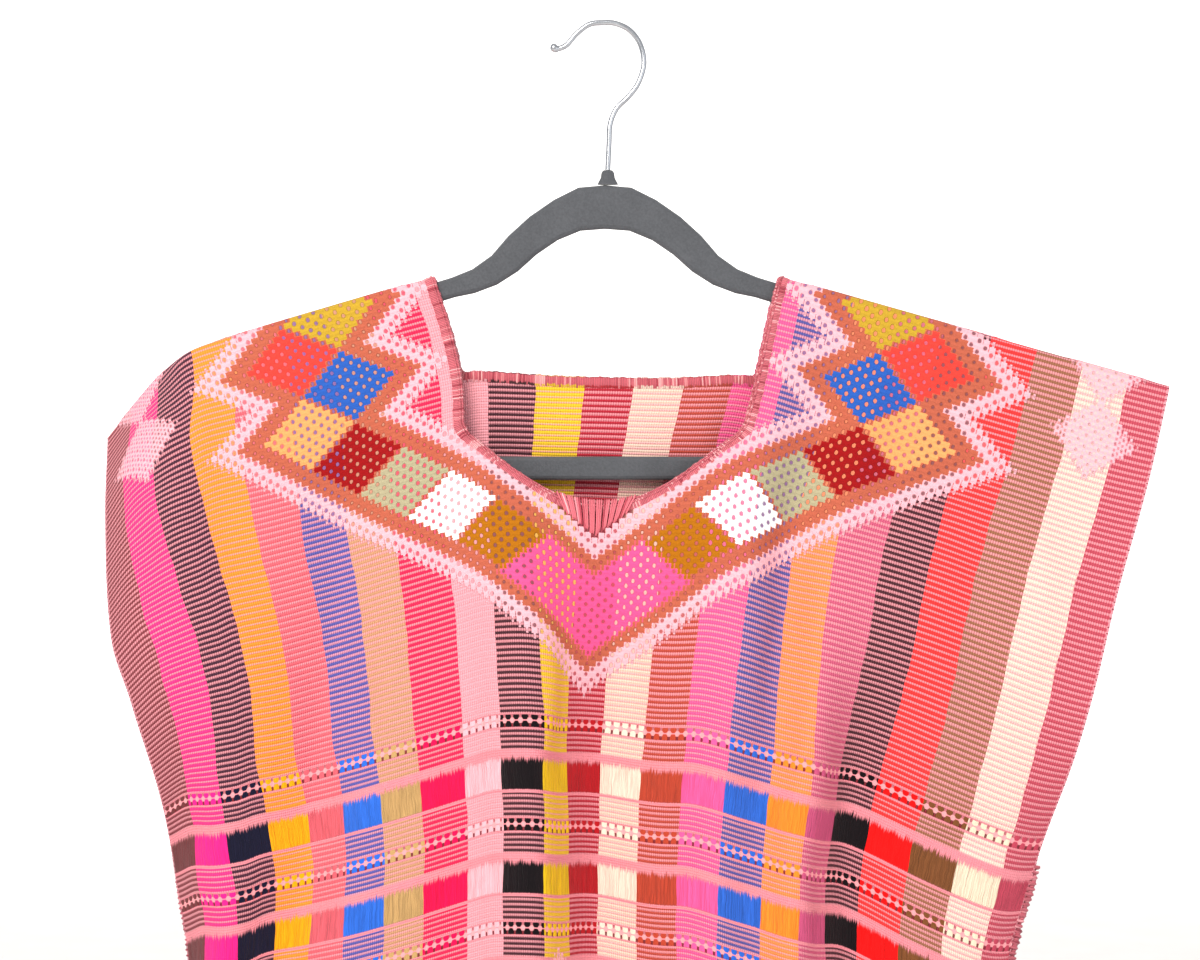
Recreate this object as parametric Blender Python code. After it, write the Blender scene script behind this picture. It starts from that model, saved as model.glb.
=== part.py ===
# A woven huipil blouse hanging on a velvet hanger.
# Units are metres. X runs to the viewer's right, Y away from the viewer and Z up.
# The origin is the inside top of the hanger's hook, where a rail carries it.
from collections import namedtuple

import bpy
import numpy as np

mm = 0.001

# The web: one length of striped cloth, folded over the shoulders.
stripePitch = 24.5 * mm
edgeStripe = 21.5 * mm
stripeCount = 23
midThread = stripeCount / 2
halfWeb = (midThread - 1) * stripePitch + edgeStripe
panelLength = 600 * mm
clothWall = 1.6 * mm
seamGap = 0.3 * mm

# The hanger
hangerThick = 6 * mm
shoulderAngle = np.radians(16.3)
armAngle = np.radians(16.8)
shoulderTop = -131.5 * mm
shoulderStart = 66 * mm
archRadius = hangerThick / 2 + seamGap + clothWall / 2
armStart = 93 * mm
armEnd = 212 * mm
armDepth = 10 * mm
armDrop = 5.2 * mm
barTop = -227.5 * mm
barBottom = -240 * mm
wireRadius = 1.5 * mm

# The neck opening, cut in the web
neckHalf = 72 * mm
neckSide = 84 * mm
neckPoint = 122.5 * mm
neckRound = 150 * mm
backNeckDepth = 50 * mm
neckSpread = 37 * mm
neckSpreadEnd = 120 * mm
bindingWidth = 5.6 * mm
bindingThick = 2.2 * mm
bindingLift = 0.5 * mm
neckGap = 0.7 * mm

# The armhole: the sides are joined below this distance from the shoulder fold.
armholeDepth = 250 * mm
seamRadius = 1.5 * mm
seamReach = 90 * mm

# The brocade stands this much above the plain cloth, and its first row of rhombi lies this far
# in front of the shoulder fold.
brocadeRaise = 0.5 * mm
brocadeDrop = 6.3 * mm
rhombusHalfWide = 26.2 * mm
rhombusHalfTall = 19.5 * mm
# How many half widths each row's rhombi lie from the middle of the web, from the shoulder down
rhombusSteps = (5, 6, 5, 6, 5, 4, 3, 2, 1, 0)
backBrocadeEnd = 88 * mm
backBrocadeFade = 98 * mm

# The fan of stitches under the point of the neck narrows downwards.
fanDrop = 8.5 * mm
fanTopHalf = 14 * mm
fanFootHalf = 5 * mm
fanTall = 9 * mm
fanSideDrop = 2 * mm
fanThick = 0.9 * mm

foldRound = 7.5 * mm

# Each fold of the hanging cloth runs down the web. Its thread numbers count stripe edges from the
# viewer's left, at 50 mm and at 350 mm below the shoulder fold. Its depths are millimetres along Y,
# at these distances below the shoulder fold.
foldHeights = (0, 50, 150, 250, 350, 600)
threadsTopAt = 50 * mm
threadsLowAt = 350 * mm
Fold = namedtuple("Fold", "name threadTop threadLow y0 y50 y150 y250 y350 y600")
frontFolds = (
    Fold("left selvedge",      0.0,  0.0,  23,   1, -20,   3.1,   3.1,   3.1),
    Fold("left curl",          1.0,  0.8,  19, -11, -31, -11, -12, -10),
    Fold("left outer crest",   2.2,  1.8,   5, -21, -30, -27, -30, -26),
    Fold("hanger end",         3.2,  2.5,   0, -11, -26, -22, -14, -12),
    Fold("left valley",        6.4,  3.2,   0,  -3,  -6,  -7,  -8,  -8),
    Fold("left inner crest",   7.6,  4.8,   0,  -2, -16, -24, -28, -27),
    Fold("left breast",        8.4,  8.2,   0,  -1, -13, -25, -28, -20),
    Fold("centre crest",       9.8,  9.8,   0,   0, -26, -47, -50, -45),
    Fold("centre flank",      11.0, 11.0,   0,   0, -11, -18, -23, -21),
    Fold("centre valley",     12.1, 12.1,   0,   0,  -4,   0,   0,   0),
    Fold("right breast",      15.0, 15.0,   0,  -6, -25, -27, -28, -26),
    Fold("right valley",      16.0, 16.0,   0,   0,  -3, -13, -19, -15),
    Fold("right crest",       17.0, 17.0,   0,  -6, -22, -34, -37, -36),
    Fold("right deep valley", 17.4, 19.0,   0,  -1, -19,   0,   0,   0),
    Fold("right flat",        20.0, 20.4,   0,  -2, -15, -11, -14, -18),
    Fold("right outer",       22.0, 22.0,   0,  -3, -15,  -9, -11, -11),
    Fold("right selvedge",    23.0, 23.0,   0,  -7, -17,   3.1,   3.1,   3.1),
)
backFolds = (
    Fold("left selvedge",      0.0,  0.0,  23,  36,  30,  -3.1,  -3.1,  -3.1),
    Fold("left curl",          1.0,  1.4,  19,  34,  32,  16,  20,  18),
    Fold("left outer crest",   2.2,  3.0,   5,  26,  30,  24,  12,  10),
    Fold("hanger end",         3.2,  5.0,   0,  12,  20,  24,  28,  24),
    Fold("left blade",         6.0,  7.0,   0,   2,  10,   6,   4,   6),
    Fold("left middle",        9.0,  9.4,   0,   1,  14,  28,  32,  28),
    Fold("centre",            12.0, 11.8,   0,   0,   6,   4,   2,   4),
    Fold("right middle",      14.5, 14.0,   0,   0,  12,  26,  32,  28),
    Fold("right blade",       17.0, 17.0,   0,   1,   8,   6,   4,   6),
    Fold("right outer crest", 20.0, 19.8,   0,   2,  14,  22,  28,  24),
    Fold("right edge",        22.0, 22.0,   0,   5,  14,  12,  14,  11),
    Fold("right selvedge",    23.0, 23.0,   0,   8,  16,  -3.1,  -3.1,  -3.1),
)

# Where the web hangs, in millimetres: distance below the fold, X of the left and of the right
# selvedge, and how far its middle sways to the right.
Hang = namedtuple("Hang", "below left right sway")
outline = (
    Hang(0,   -267, 298, -5),
    Hang(50,  -263, 285, -6),
    Hang(115, -256, 265, -9),
    Hang(150, -245, 256, -11),
    Hang(200, -233, 243, -11),
    Hang(250, -226, 227, -9),
    Hang(300, -219, 213, -5),
    Hang(350, -219, 209, -2),
    Hang(600, -226, 214, 0),
)

# The sleeve that reaches past the hanger's left end droops.
droopStart = 3.0
droopSlope = 0.34
cuffStart = 1.0
cuffSlope = 0.12
droopFade = 70 * mm

# The right half of the web hangs a little longer, down to the hips.
rightStretch = 0.035
rightStart = -10 * mm
rightFull = 60 * mm
cuffStretch = 0.045
cuffStretchStart = 170 * mm
stretchFade = 240 * mm
stretchEnd = 340 * mm

# Colours of the sub-parts
coral = (0.80, 0.30, 0.32)
rose = (0.72, 0.20, 0.24)
velvetGrey = (0.13, 0.13, 0.14)
chromeGrey = (0.62, 0.64, 0.66)


def clearScene():
    for item in list(bpy.data.objects):
        bpy.data.objects.remove(item)


def threadAt(thread):
    """Distance across the web of a stripe edge, from the web's centre line."""
    thread = np.asarray(thread, float)
    inside = (np.clip(thread, 1, stripeCount - 1) - midThread) * stripePitch
    beyondLeft = np.clip(1 - thread, 0, 1) * edgeStripe
    beyondRight = np.clip(thread - stripeCount + 1, 0, 1) * edgeStripe
    return inside - beyondLeft + beyondRight


def smoothStep(x, start, end):
    t = np.clip((x - start) / (end - start), 0, 1)
    return t * t * (3 - 2 * t)


def softRamp(x, width):
    """Zero on the left, x on the right, with a round corner."""
    return (x + np.sqrt(x * x + width * width)) / 2


def through(x, knots, values):
    """A smooth curve through the knots that never overshoots between two of them."""
    knots = np.asarray(knots, float)
    values = np.asarray(values, float)
    spans = np.diff(knots)
    steps = np.diff(values) / spans
    slopes = np.zeros_like(values)
    for i in range(1, len(values) - 1):
        if steps[i - 1] * steps[i] > 0:
            before = 2 * spans[i] + spans[i - 1]
            after = spans[i] + 2 * spans[i - 1]
            slopes[i] = (before + after) / (before / steps[i - 1] + after / steps[i])
    slopes[0] = steps[0]
    slopes[-1] = steps[-1]
    x = np.clip(x, knots[0], knots[-1])
    i = np.clip(np.searchsorted(knots, x, side="right") - 1, 0, len(spans) - 1)
    t = (x - knots[i]) / spans[i]
    fromStart = (1 + 2 * t) * (1 - t) ** 2 * values[i] + t * (1 - t) ** 2 * spans[i] * slopes[i]
    fromEnd = t * t * (3 - 2 * t) * values[i + 1] + t * t * (t - 1) * spans[i] * slopes[i + 1]
    return fromStart + fromEnd


def running(values, stations, axis):
    """Running integral of values along one axis of a grid."""
    values = np.moveaxis(values, axis, 0)
    total = np.zeros_like(values)
    width = np.diff(stations).reshape((-1,) + (1,) * (values.ndim - 1))
    total[1:] = np.cumsum((values[1:] + values[:-1]) / 2 * width, axis=0)
    return np.moveaxis(total, 0, axis)


def foldDepth(across, down, folds):
    """Depth of the folds: straight flanks between the fold lines, with round corners."""
    low = np.clip((down - threadsTopAt) / (threadsLowAt - threadsTopAt), 0, 1)
    lines = [threadAt(fold.threadTop + (fold.threadLow - fold.threadTop) * low) for fold in folds]
    depths = [through(down, np.multiply(foldHeights, mm), np.multiply(fold[3:], mm)) for fold in folds]
    flanks = [(depths[i + 1] - depths[i]) / (lines[i + 1] - lines[i]) for i in range(len(folds) - 1)]
    flanks = [flanks[0]] + flanks + [flanks[-1]]
    depth = depths[0][:, None] + flanks[0][:, None] * (across[None, :] - lines[0][:, None])
    for i, line in enumerate(lines):
        turn = flanks[i + 1] - flanks[i]
        depth += turn[:, None] * softRamp(across[None, :] - line[:, None], foldRound)
    side = (across[None, :] + halfWeb) / (2 * halfWeb)
    leftError = depth[:, :1] - depths[0][:, None]
    rightError = depth[:, -1:] - depths[-1][:, None]
    return depth - leftError * (1 - side) ** 2 - rightError * side ** 2


def sleeveDroop(across):
    """How much lower than the arm's line the left sleeve's fold hangs, past the hanger's end."""
    droop = droopSlope * softRamp(threadAt(droopStart) - across, 8 * mm)
    return droop + cuffSlope * softRamp(threadAt(cuffStart) - across, 8 * mm)


def ridgeHeight(across):
    """Height of the shoulder fold along the web."""
    arms = softRamp(across - shoulderStart, 6 * mm) + softRamp(-across - shoulderStart, 6 * mm)
    return shoulderTop - np.sin(shoulderAngle) * arms - sleeveDroop(across)


def hangCloth(across, down, folds, side):
    """Middle surface of one panel as three grids. Lengths along both threads are kept."""
    depth = foldDepth(across, down, folds)
    ridge = ridgeHeight(across)
    droopSlopes = np.gradient(sleeveDroop(across), across)[None, :]
    levelling = smoothStep(down, 0, droopFade)[:, None]
    rowSlope = np.gradient(ridge, across)[None, :] + levelling * droopSlopes
    flankSlope = np.gradient(depth, across, axis=1)
    planWidth = np.sqrt(np.clip(1 - rowSlope ** 2 - flankSlope ** 2, 0.04, 1))
    spread = neckSpread * np.clip(1 - down / neckSpreadEnd, 0, 1) ** 2
    opening = np.clip(1 - (across / (neckHalf + 10 * mm)) ** 2, 0, 1)
    opening = opening / running(opening, across, 0)[-1]
    run = running(planWidth + spread[:, None] * opening[None, :], across, 1)
    below = [row.below * mm for row in outline]
    left = through(down, below, [row.left * mm for row in outline])
    right = through(down, below, [row.right * mm for row in outline])
    sway = through(down, below, [row.sway * mm for row in outline])
    x = left[:, None] + (right - left)[:, None] * run / run[:, -1:]
    x += sway[:, None] * (1 - (across[None, :] / halfWeb) ** 2)

    arch = archRadius * np.sin(np.clip(down / archRadius, 0, np.pi / 2))
    slack = archRadius * smoothStep(down, 0, 80 * mm)
    onHanger = smoothStep(across, threadAt(2.0), threadAt(3.1)) if side < 0 else np.ones_like(across)
    y = depth + side * (arch[:, None] * onHanger[None, :] + slack[:, None] * (1 - onHanger[None, :]))

    sideways = np.gradient(x, down, axis=0)
    outward = np.gradient(y, down, axis=0)
    stretch = rightStretch * smoothStep(across, rightStart, rightFull)
    stretch = stretch + cuffStretch * smoothStep(across, cuffStretchStart, halfWeb)
    stretch = 1 + stretch[None, :] * (1 - smoothStep(down, stretchFade, stretchEnd))[:, None]
    fall = np.sqrt(np.clip(1 - sideways ** 2 - outward ** 2, 0.02, 1)) * stretch
    z = ridge[None, :] - running(fall, down, 0)
    return x, y, z


class Panel:
    """One hung panel: its middle surface and outward normal at any thread and distance down."""

    def __init__(self, folds, side, joined=None):
        self.across = threadAt(np.linspace(0, stripeCount, 8 * stripeCount + 1))
        fine = np.arange(0, 12, 0.5) * mm
        self.down = np.concatenate([fine, np.linspace(12 * mm, panelLength, 197)])
        self.points = np.stack(hangCloth(self.across, self.down, folds, side), axis=-1)
        if joined is not None:
            self.meet(joined)
        alongWeb = np.gradient(self.points, self.across, axis=1)
        downWeb = np.gradient(self.points, self.down, axis=0)
        normals = np.cross(alongWeb, downWeb) * side
        normals[0, :, 1] = 0
        self.normals = normals / np.linalg.norm(normals, axis=2, keepdims=True)

    def meet(self, joined):
        """Raise or lower the selvedges to the other panel's, so that the side seams close."""
        heights = self.points[:, :, 2]
        gaps = (joined.points[:, :, 2] - heights) * smoothStep(self.down, 60 * mm, armholeDepth)[:, None]
        fromLeft = np.exp(-((self.across + halfWeb) / seamReach) ** 2)
        fromRight = np.exp(-((self.across - halfWeb) / seamReach) ** 2)
        heights += gaps[:, :1] * fromLeft + gaps[:, -1:] * fromRight

    def sample(self, grid, u, v):
        column = np.interp(u, self.across, np.arange(len(self.across)))
        row = np.interp(v, self.down, np.arange(len(self.down)))
        i = np.clip(row.astype(int), 0, len(self.down) - 2)
        j = np.clip(column.astype(int), 0, len(self.across) - 2)
        s = (row - i)[..., None]
        t = (column - j)[..., None]
        upper = grid[i, j] * (1 - t) + grid[i, j + 1] * t
        lower = grid[i + 1, j] * (1 - t) + grid[i + 1, j + 1] * t
        return upper * (1 - s) + lower * s

    def at(self, u, v, out=0.0):
        """Points of the panel, moved out along its normal by a distance."""
        u, v = np.broadcast_arrays(np.asarray(u, float), np.asarray(v, float))
        normal = self.sample(self.normals, u, v)
        normal = normal / np.linalg.norm(normal, axis=-1, keepdims=True)
        return self.sample(self.points, u, v) + normal * np.asarray(out)[..., None]


def frontNeck(u, inset):
    """How far down the front neck's edge lies at a distance across; inset moves it into the cloth."""
    rise = (neckPoint - neckSide) / (np.hypot(neckHalf, neckRound) - neckRound)
    return neckPoint + 1.25 * inset - rise * (np.hypot(u, neckRound) - neckRound)


def backNeck(u, inset):
    return np.full_like(np.asarray(u, float), backNeckDepth + inset)


def makeObject(name, vertices, faces, color, roughness, metallic=0.0):
    mesh = bpy.data.meshes.new(name)
    mesh.from_pydata([tuple(v) for v in vertices], [], faces)
    mesh.update()
    mesh.validate()
    mesh.shade_smooth()
    mesh.set_sharp_from_angle(angle=np.radians(50))
    item = bpy.data.objects.new(name, mesh)
    bpy.context.collection.objects.link(item)
    material = bpy.data.materials.new(name)
    material.use_nodes = True
    shader = material.node_tree.nodes["Principled BSDF"]
    shader.inputs["Base Color"].default_value = (*color, 1)
    shader.inputs["Roughness"].default_value = roughness
    shader.inputs["Metallic"].default_value = metallic
    mesh.materials.append(material)
    return item


def brocadeHeight(u, v, drop=brocadeDrop):
    """The raised bands: a chain of rhombi from each shoulder down to the point of the neck."""
    nearest = np.full(np.broadcast(u, v).shape, 9.0)
    for row, steps in enumerate(rhombusSteps):
        aside = np.abs(np.abs(u) - steps * rhombusHalfWide) / rhombusHalfWide
        below = np.abs(v - drop - row * rhombusHalfTall) / rhombusHalfTall
        nearest = np.minimum(nearest, aside + below)
    return brocadeRaise * np.clip((2.1 - nearest) / 0.4, 0, 1)


def brocadeWings(u, v):
    """On the back only the shoulder wings of the brocade, down to the bottom of the neck."""
    return brocadeHeight(u, v, -brocadeDrop) * (1 - smoothStep(v, backBrocadeEnd, backBrocadeFade))


def sheetNormals(points, faces):
    """Unit normal at each point of a sheet of four-sided faces."""
    corners = points[np.array(faces)]
    faceNormals = np.cross(corners[:, 2] - corners[:, 0], corners[:, 3] - corners[:, 1])
    normals = np.zeros_like(points)
    for corner in range(4):
        np.add.at(normals, np.array(faces)[:, corner], faceNormals)
    return normals / np.linalg.norm(normals, axis=1, keepdims=True)


def thicken(outer, inner, faces):
    """Close a sheet: both skins and a wall along every open edge. Returns vertices and faces."""
    count = len(outer)
    edges = {}
    for face in faces:
        for a, b in zip(face, face[1:] + face[:1]):
            edges[(a, b)] = True
    walls = [(b, a, a + count, b + count) for a, b in edges if (b, a) not in edges]
    under = [tuple(i + count for i in reversed(face)) for face in faces]
    return np.concatenate([outer, inner]), faces + under + walls


def makePanel(name, panel, side, neckEdge, shoulderRows, lowerRows, raised):
    """A panel as two shoulder blocks and the block below the neck, on one grid of columns."""
    cut = neckHalf + bindingWidth + neckGap
    threads = np.concatenate([np.arange(0, stripeCount + 0.1, 0.5), midThread + np.array([-0.25, 0.25])])
    columns = threadAt(np.sort(threads))
    columns[np.argmin(np.abs(columns + cut))] = -cut
    columns[np.argmin(np.abs(columns - cut))] = cut
    across = []
    down = []
    number = {}
    for i, v in enumerate(shoulderRows[:-1]):
        for j, u in enumerate(columns):
            if abs(u) > cut - 0.1 * mm:
                number[(i, j)] = len(across)
                across.append(u)
                down.append(v)
    base = shoulderRows[-1]
    first = len(shoulderRows) - 1
    for i, v in enumerate(lowerRows):
        for j, u in enumerate(columns):
            drop = max(float(neckEdge(u, bindingWidth + neckGap)) - base, 0)
            drop = drop * max(0.0, 1 - (v - base) / (100 * mm))
            if abs(u) > cut - 0.1 * mm:
                drop = 0
            number[(first + i, j)] = len(across)
            across.append(u)
            down.append(v + drop)
    faces = []
    rows = first + len(lowerRows)
    for i in range(rows - 1):
        for j in range(len(columns) - 1):
            corners = [(i, j), (i, j + 1), (i + 1, j + 1), (i + 1, j)]
            if all(c in number for c in corners):
                faces.append(tuple(number[c] for c in corners))
    if side < 0:
        faces = [tuple(reversed(face)) for face in faces]
    u = np.array(across)
    v = np.array(down)
    half = clothWall / 2
    middle = panel.at(u, v)
    normals = sheetNormals(middle, faces)
    fold = middle[v < seamGap]
    along = np.gradient(fold, axis=0)
    along /= np.linalg.norm(along, axis=1, keepdims=True)
    upright = np.array([0, 0, 1]) - along * along[:, 2:]
    normals[v < seamGap] = upright / np.linalg.norm(upright, axis=1, keepdims=True)
    outer = middle + normals * (half + raised(u, v))[:, None]
    inner = middle - normals * half
    vertices, allFaces = thicken(outer, inner, faces)
    return makeObject(name, vertices, allFaces, coral, 0.9)


def makeTube(name, centres, radii, sides, color, roughness, metallic=0.0, flatten=None,
             squareEnds=False):
    """A capped tube along a path. flatten gives, at each point, the two half-axes of the section."""
    centres = np.asarray(centres)
    steps = np.diff(centres, axis=0)
    steps /= np.linalg.norm(steps, axis=1, keepdims=True)
    tangents = np.concatenate([steps[:1], steps[1:] + steps[:-1], steps[-1:]])
    if squareEnds:
        tangents[0] = (0, tangents[0][1], 0)
        tangents[-1] = (0, tangents[-1][1], 0)
    tangents /= np.linalg.norm(tangents, axis=1, keepdims=True)
    angles = np.linspace(0, 2 * np.pi, sides, endpoint=False)
    vertices = []
    for i, centre in enumerate(centres):
        if flatten is None:
            second = np.array([0.0, 1.0, 0.0])
            first = np.cross(second, tangents[i])
            first /= np.linalg.norm(first)
            second = np.cross(tangents[i], first)
        else:
            second = flatten[i] - tangents[i] * np.dot(flatten[i], tangents[i])
            second /= np.linalg.norm(second)
            first = np.cross(second, tangents[i])
        wide, thick = radii[i]
        for angle in angles:
            vertices.append(centre + first * wide * np.cos(angle) + second * thick * np.sin(angle))
    faces = []
    for i in range(len(centres) - 1):
        for j in range(sides):
            k = (j + 1) % sides
            faces.append((i * sides + j, i * sides + k, (i + 1) * sides + k, (i + 1) * sides + j))
    faces.append(tuple(reversed(range(sides))))
    last = (len(centres) - 1) * sides
    faces.append(tuple(last + j for j in range(sides)))
    return makeObject(name, vertices, faces, color, roughness, metallic)


def makeBinding(name, panel, neckEdge, sideDepth):
    """The overcast band round half the neck, just beyond the cut edge of the cloth."""
    inset = bindingWidth / 2
    half = neckHalf + inset
    corner = float(neckEdge(half, inset)) if sideDepth is None else sideDepth + inset
    overArm = np.array([0.15, 1.5, 3.2, 5, 7]) * mm
    sideDown = np.concatenate([overArm, np.linspace(12 * mm, corner - 5 * mm, 6)])
    bottom = np.linspace(-half + 3.5 * mm, half - 3.5 * mm, 27)
    u = np.concatenate([np.full(len(sideDown), -half), bottom, np.full(len(sideDown), half)])
    v = np.concatenate([sideDown, neckEdge(bottom, inset), sideDown[::-1]])
    centres = panel.at(u, v, bindingLift * np.ones_like(u))
    normals = panel.at(u, v, np.ones_like(u)) - panel.at(u, v)
    radii = [(bindingWidth / 2, bindingThick / 2)] * len(u)
    return makeTube(name, centres, radii, 8, rose, 0.85, flatten=normals, squareEnds=True)


def makeFan(panel):
    """The fan of long stitches under the point of the neck, lying on the front panel."""
    rows = np.linspace(0, 1, 5)
    columns = np.linspace(-1, 1, 9)
    top = neckPoint + fanDrop
    u = []
    v = []
    for r in rows:
        for c in columns:
            u.append(c * (fanTopHalf + (fanFootHalf - fanTopHalf) * r))
            v.append(top + fanTall * r - fanSideDrop * abs(c) * (1 - r))
    u = np.array(u)
    v = np.array(v)
    wide = len(columns)
    faces = []
    for i in range(len(rows) - 1):
        for j in range(wide - 1):
            faces.append((i * wide + j, (i + 1) * wide + j, (i + 1) * wide + j + 1, i * wide + j + 1))
    ground = clothWall / 2 + brocadeRaise + seamGap
    inner = panel.at(u, v, ground * np.ones_like(u))
    outer = panel.at(u, v, (ground + fanThick) * np.ones_like(u))
    vertices, allFaces = thicken(outer, inner, faces)
    return makeObject("neck_fan", vertices, allFaces, rose, 0.7)


def makeSeam(name, front, back, side):
    """The overcast join of the two selvedges below the armhole."""
    down = np.linspace(armholeDepth, panelLength - 2 * mm, 34)
    middle = (front.at(side * halfWeb, down) + back.at(side * halfWeb, down)) / 2
    middle[:, 0] += side * (seamRadius + clothWall / 2 + seamGap)
    crinkle = 0.25 * mm * np.sin(np.arange(len(down)) * 2.1)
    middle[:, 0] += side * np.abs(crinkle)
    radii = [(seamRadius, seamRadius * 1.2)] * len(down)
    return makeTube(name, middle, radii, 8, rose, 0.85)


def armTop(x):
    """Top edge of the hanger's arm, just under the cloth's shoulder fold."""
    return shoulderTop - np.tan(armAngle) * (abs(x) - armStart) - armDrop


def makeHanger():
    """A closed frame: arch, two arms, and the bar that joins their ends."""
    # Half of the arch in millimetres: outer X, outer Z, inner X, inner Z.
    arch = (
        (0,  -84.3,   0, -107.5),
        (14, -85.5,  13, -108.5),
        (27, -92.0,  25, -113.5),
        (40, -101.0, 36, -121.0),
        (51, -111.0, 46, -130.0),
        (60, -121.5, 57, -137.0),
        (70, -128.6, 69, -141.5),
    )
    half = [tuple(value * mm for value in row) for row in arch]
    lean = armDepth / np.cos(armAngle)
    for x in np.linspace(81 * mm, armEnd - 8 * mm, 8):
        half.append((x, armTop(x), x - 2 * mm, armTop(x) - lean))
    tipTop = armTop(armEnd)
    half += [
        (armEnd - 1.5 * mm, tipTop - 1.5 * mm, armEnd - 12 * mm, tipTop - 12 * mm),
        (armEnd, tipTop - 6 * mm, armEnd - 13 * mm, tipTop - 15 * mm),
        (armEnd - 3 * mm, tipTop - 15 * mm, armEnd - 15 * mm, tipTop - 22 * mm),
        (armEnd - 20 * mm, barBottom + 12 * mm, armEnd - 30 * mm, barTop + 7 * mm),
        (armEnd - 32 * mm, barBottom + 1 * mm, armEnd - 37 * mm, barTop + 1 * mm),
        (armEnd - 40 * mm, barBottom, armEnd - 44 * mm, barTop),
        (120 * mm, barBottom, 119 * mm, barTop),
        (60 * mm, barBottom, 60 * mm, barTop),
        (0, barBottom, 0, barTop),
    ]
    loop = half + [(-a, b, -c, d) for a, b, c, d in half[-2:0:-1]]
    thick = hangerThick / 2
    vertices = []
    for outerX, outerZ, innerX, innerZ in loop:
        outer = np.array([outerX, 0, outerZ])
        inner = np.array([innerX, 0, innerZ])
        depth = np.linalg.norm(outer - inner)
        inward = (inner - outer) / depth
        for end, sign in ((outer, 1), (inner, -1)):
            for angle in np.radians((-75, -45, -15, 15, 45, 75)):
                back = sign * thick * (1 - np.cos(angle))
                vertices.append(end + inward * back + np.array([0, sign * thick * np.sin(angle), 0]))
    ring = 12
    faces = []
    for i in range(len(loop)):
        n = (i + 1) % len(loop)
        for j in range(ring):
            k = (j + 1) % ring
            faces.append((i * ring + k, i * ring + j, n * ring + j, n * ring + k))
    return makeObject("hanger_body", vertices, faces, velvetGrey, 0.95)


def makeCollar():
    """The short neck of the hanger that grips the hook."""
    heights = (-84.0, -80.5, -77.8, -76.6)
    widths = (5.6, 3.8, 3.4, 2.6)
    centres = [(1.5 * mm, 0, z * mm) for z in heights]
    radii = [(w * mm, min(w, 3.0) * mm) for w in widths]
    return makeTube("hanger_collar", centres, radii, 16, velvetGrey, 0.95)


def makeHook():
    """The wire hook: a stem, a swept turn to the right and an arc over the rail."""
    # The wire's route in millimetres: X, Z.
    route = (
        (1.5, -76.2), (2.2, -62), (2.8, -52), (6.2, -43.8), (12.4, -37.6), (17.6, -30.4),
        (20.6, -20), (18.6, -9.8), (13.0, -2.4), (5.6, 1.1), (-1.0, 1.5), (-8.2, 0.6),
        (-15.0, -4.4), (-20.4, -10.4), (-25.4, -12.2), (-28.6, -10.4),
    )
    route = np.array(route) * mm
    fine = np.linspace(0, len(route) - 1, 46)
    i = np.clip(fine.astype(int), 0, len(route) - 2)
    t = (fine - i)[:, None]
    slope = np.gradient(route, axis=0)
    start = (1 + 2 * t) * (1 - t) ** 2 * route[i] + t * (1 - t) ** 2 * slope[i]
    end = t * t * (3 - 2 * t) * route[i + 1] + t * t * (t - 1) * slope[i + 1]
    flat = start + end
    centres = np.stack([flat[:, 0], np.zeros(len(flat)), flat[:, 1]], axis=1)
    radii = [(wireRadius, wireRadius)] * (len(flat) - 3)
    radii += [(wireRadius * f, wireRadius * f) for f in (1.35, 1.5, 0.9)]
    return makeTube("hanger_hook", centres, radii, 8, chromeGrey, 0.15, 1.0)


def main():
    clearScene()
    front = Panel(frontFolds, -1)
    back = Panel(backFolds, 1, joined=front)
    edge = neckSide + (bindingWidth + neckGap) * 0.4
    overArm = [seamGap / 2, 1.5 * mm, 3 * mm, 4.8 * mm, 6.6 * mm]
    frontShoulder = overArm + [10 * mm, 20 * mm, 34 * mm, 48 * mm, edge]
    frontLower = np.concatenate([np.linspace(edge, armholeDepth, 14), np.linspace(264 * mm, 350 * mm, 6),
                                 np.linspace(378 * mm, panelLength, 9)])
    backEdge = backNeckDepth + bindingWidth + neckGap
    backShoulder = overArm + [12 * mm, 28 * mm, 42 * mm, backEdge]
    aroundJoin = armholeDepth + np.array([-14, 0, 14]) * mm
    backLower = np.concatenate([np.linspace(backEdge, 212 * mm, 8), aroundJoin,
                                np.linspace(295 * mm, panelLength, 7)])
    makePanel("front_panel", front, -1, frontNeck, frontShoulder, frontLower, brocadeHeight)
    makePanel("back_panel", back, 1, backNeck, backShoulder, backLower, brocadeWings)
    makeBinding("neck_edging_front", front, frontNeck, None)
    makeBinding("neck_edging_back", back, backNeck, backNeckDepth)
    makeFan(front)
    makeSeam("side_seam_left", front, back, -1)
    makeSeam("side_seam_right", front, back, 1)
    makeHanger()
    makeCollar()
    makeHook()


main()
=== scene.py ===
import bpy
import numpy as np
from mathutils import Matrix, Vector


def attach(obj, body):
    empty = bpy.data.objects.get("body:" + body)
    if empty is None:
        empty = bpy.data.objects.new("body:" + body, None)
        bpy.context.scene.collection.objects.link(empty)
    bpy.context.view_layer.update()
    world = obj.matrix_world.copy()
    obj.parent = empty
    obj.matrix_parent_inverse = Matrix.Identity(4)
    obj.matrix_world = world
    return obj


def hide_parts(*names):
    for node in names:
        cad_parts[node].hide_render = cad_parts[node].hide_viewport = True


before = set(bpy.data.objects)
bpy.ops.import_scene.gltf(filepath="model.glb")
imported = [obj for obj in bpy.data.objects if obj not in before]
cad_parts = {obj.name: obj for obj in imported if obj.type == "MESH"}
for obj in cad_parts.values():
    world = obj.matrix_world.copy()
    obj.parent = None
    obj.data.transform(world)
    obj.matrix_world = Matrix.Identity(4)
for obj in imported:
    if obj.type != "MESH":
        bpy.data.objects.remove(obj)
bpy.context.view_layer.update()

# A striped huipil with a brocaded neck band, hanging on a grey velvet hanger.
# Distances on the cloth are millimetres: u runs across the web from its middle, v down it from the
# shoulder fold.
mm = 0.001
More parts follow.
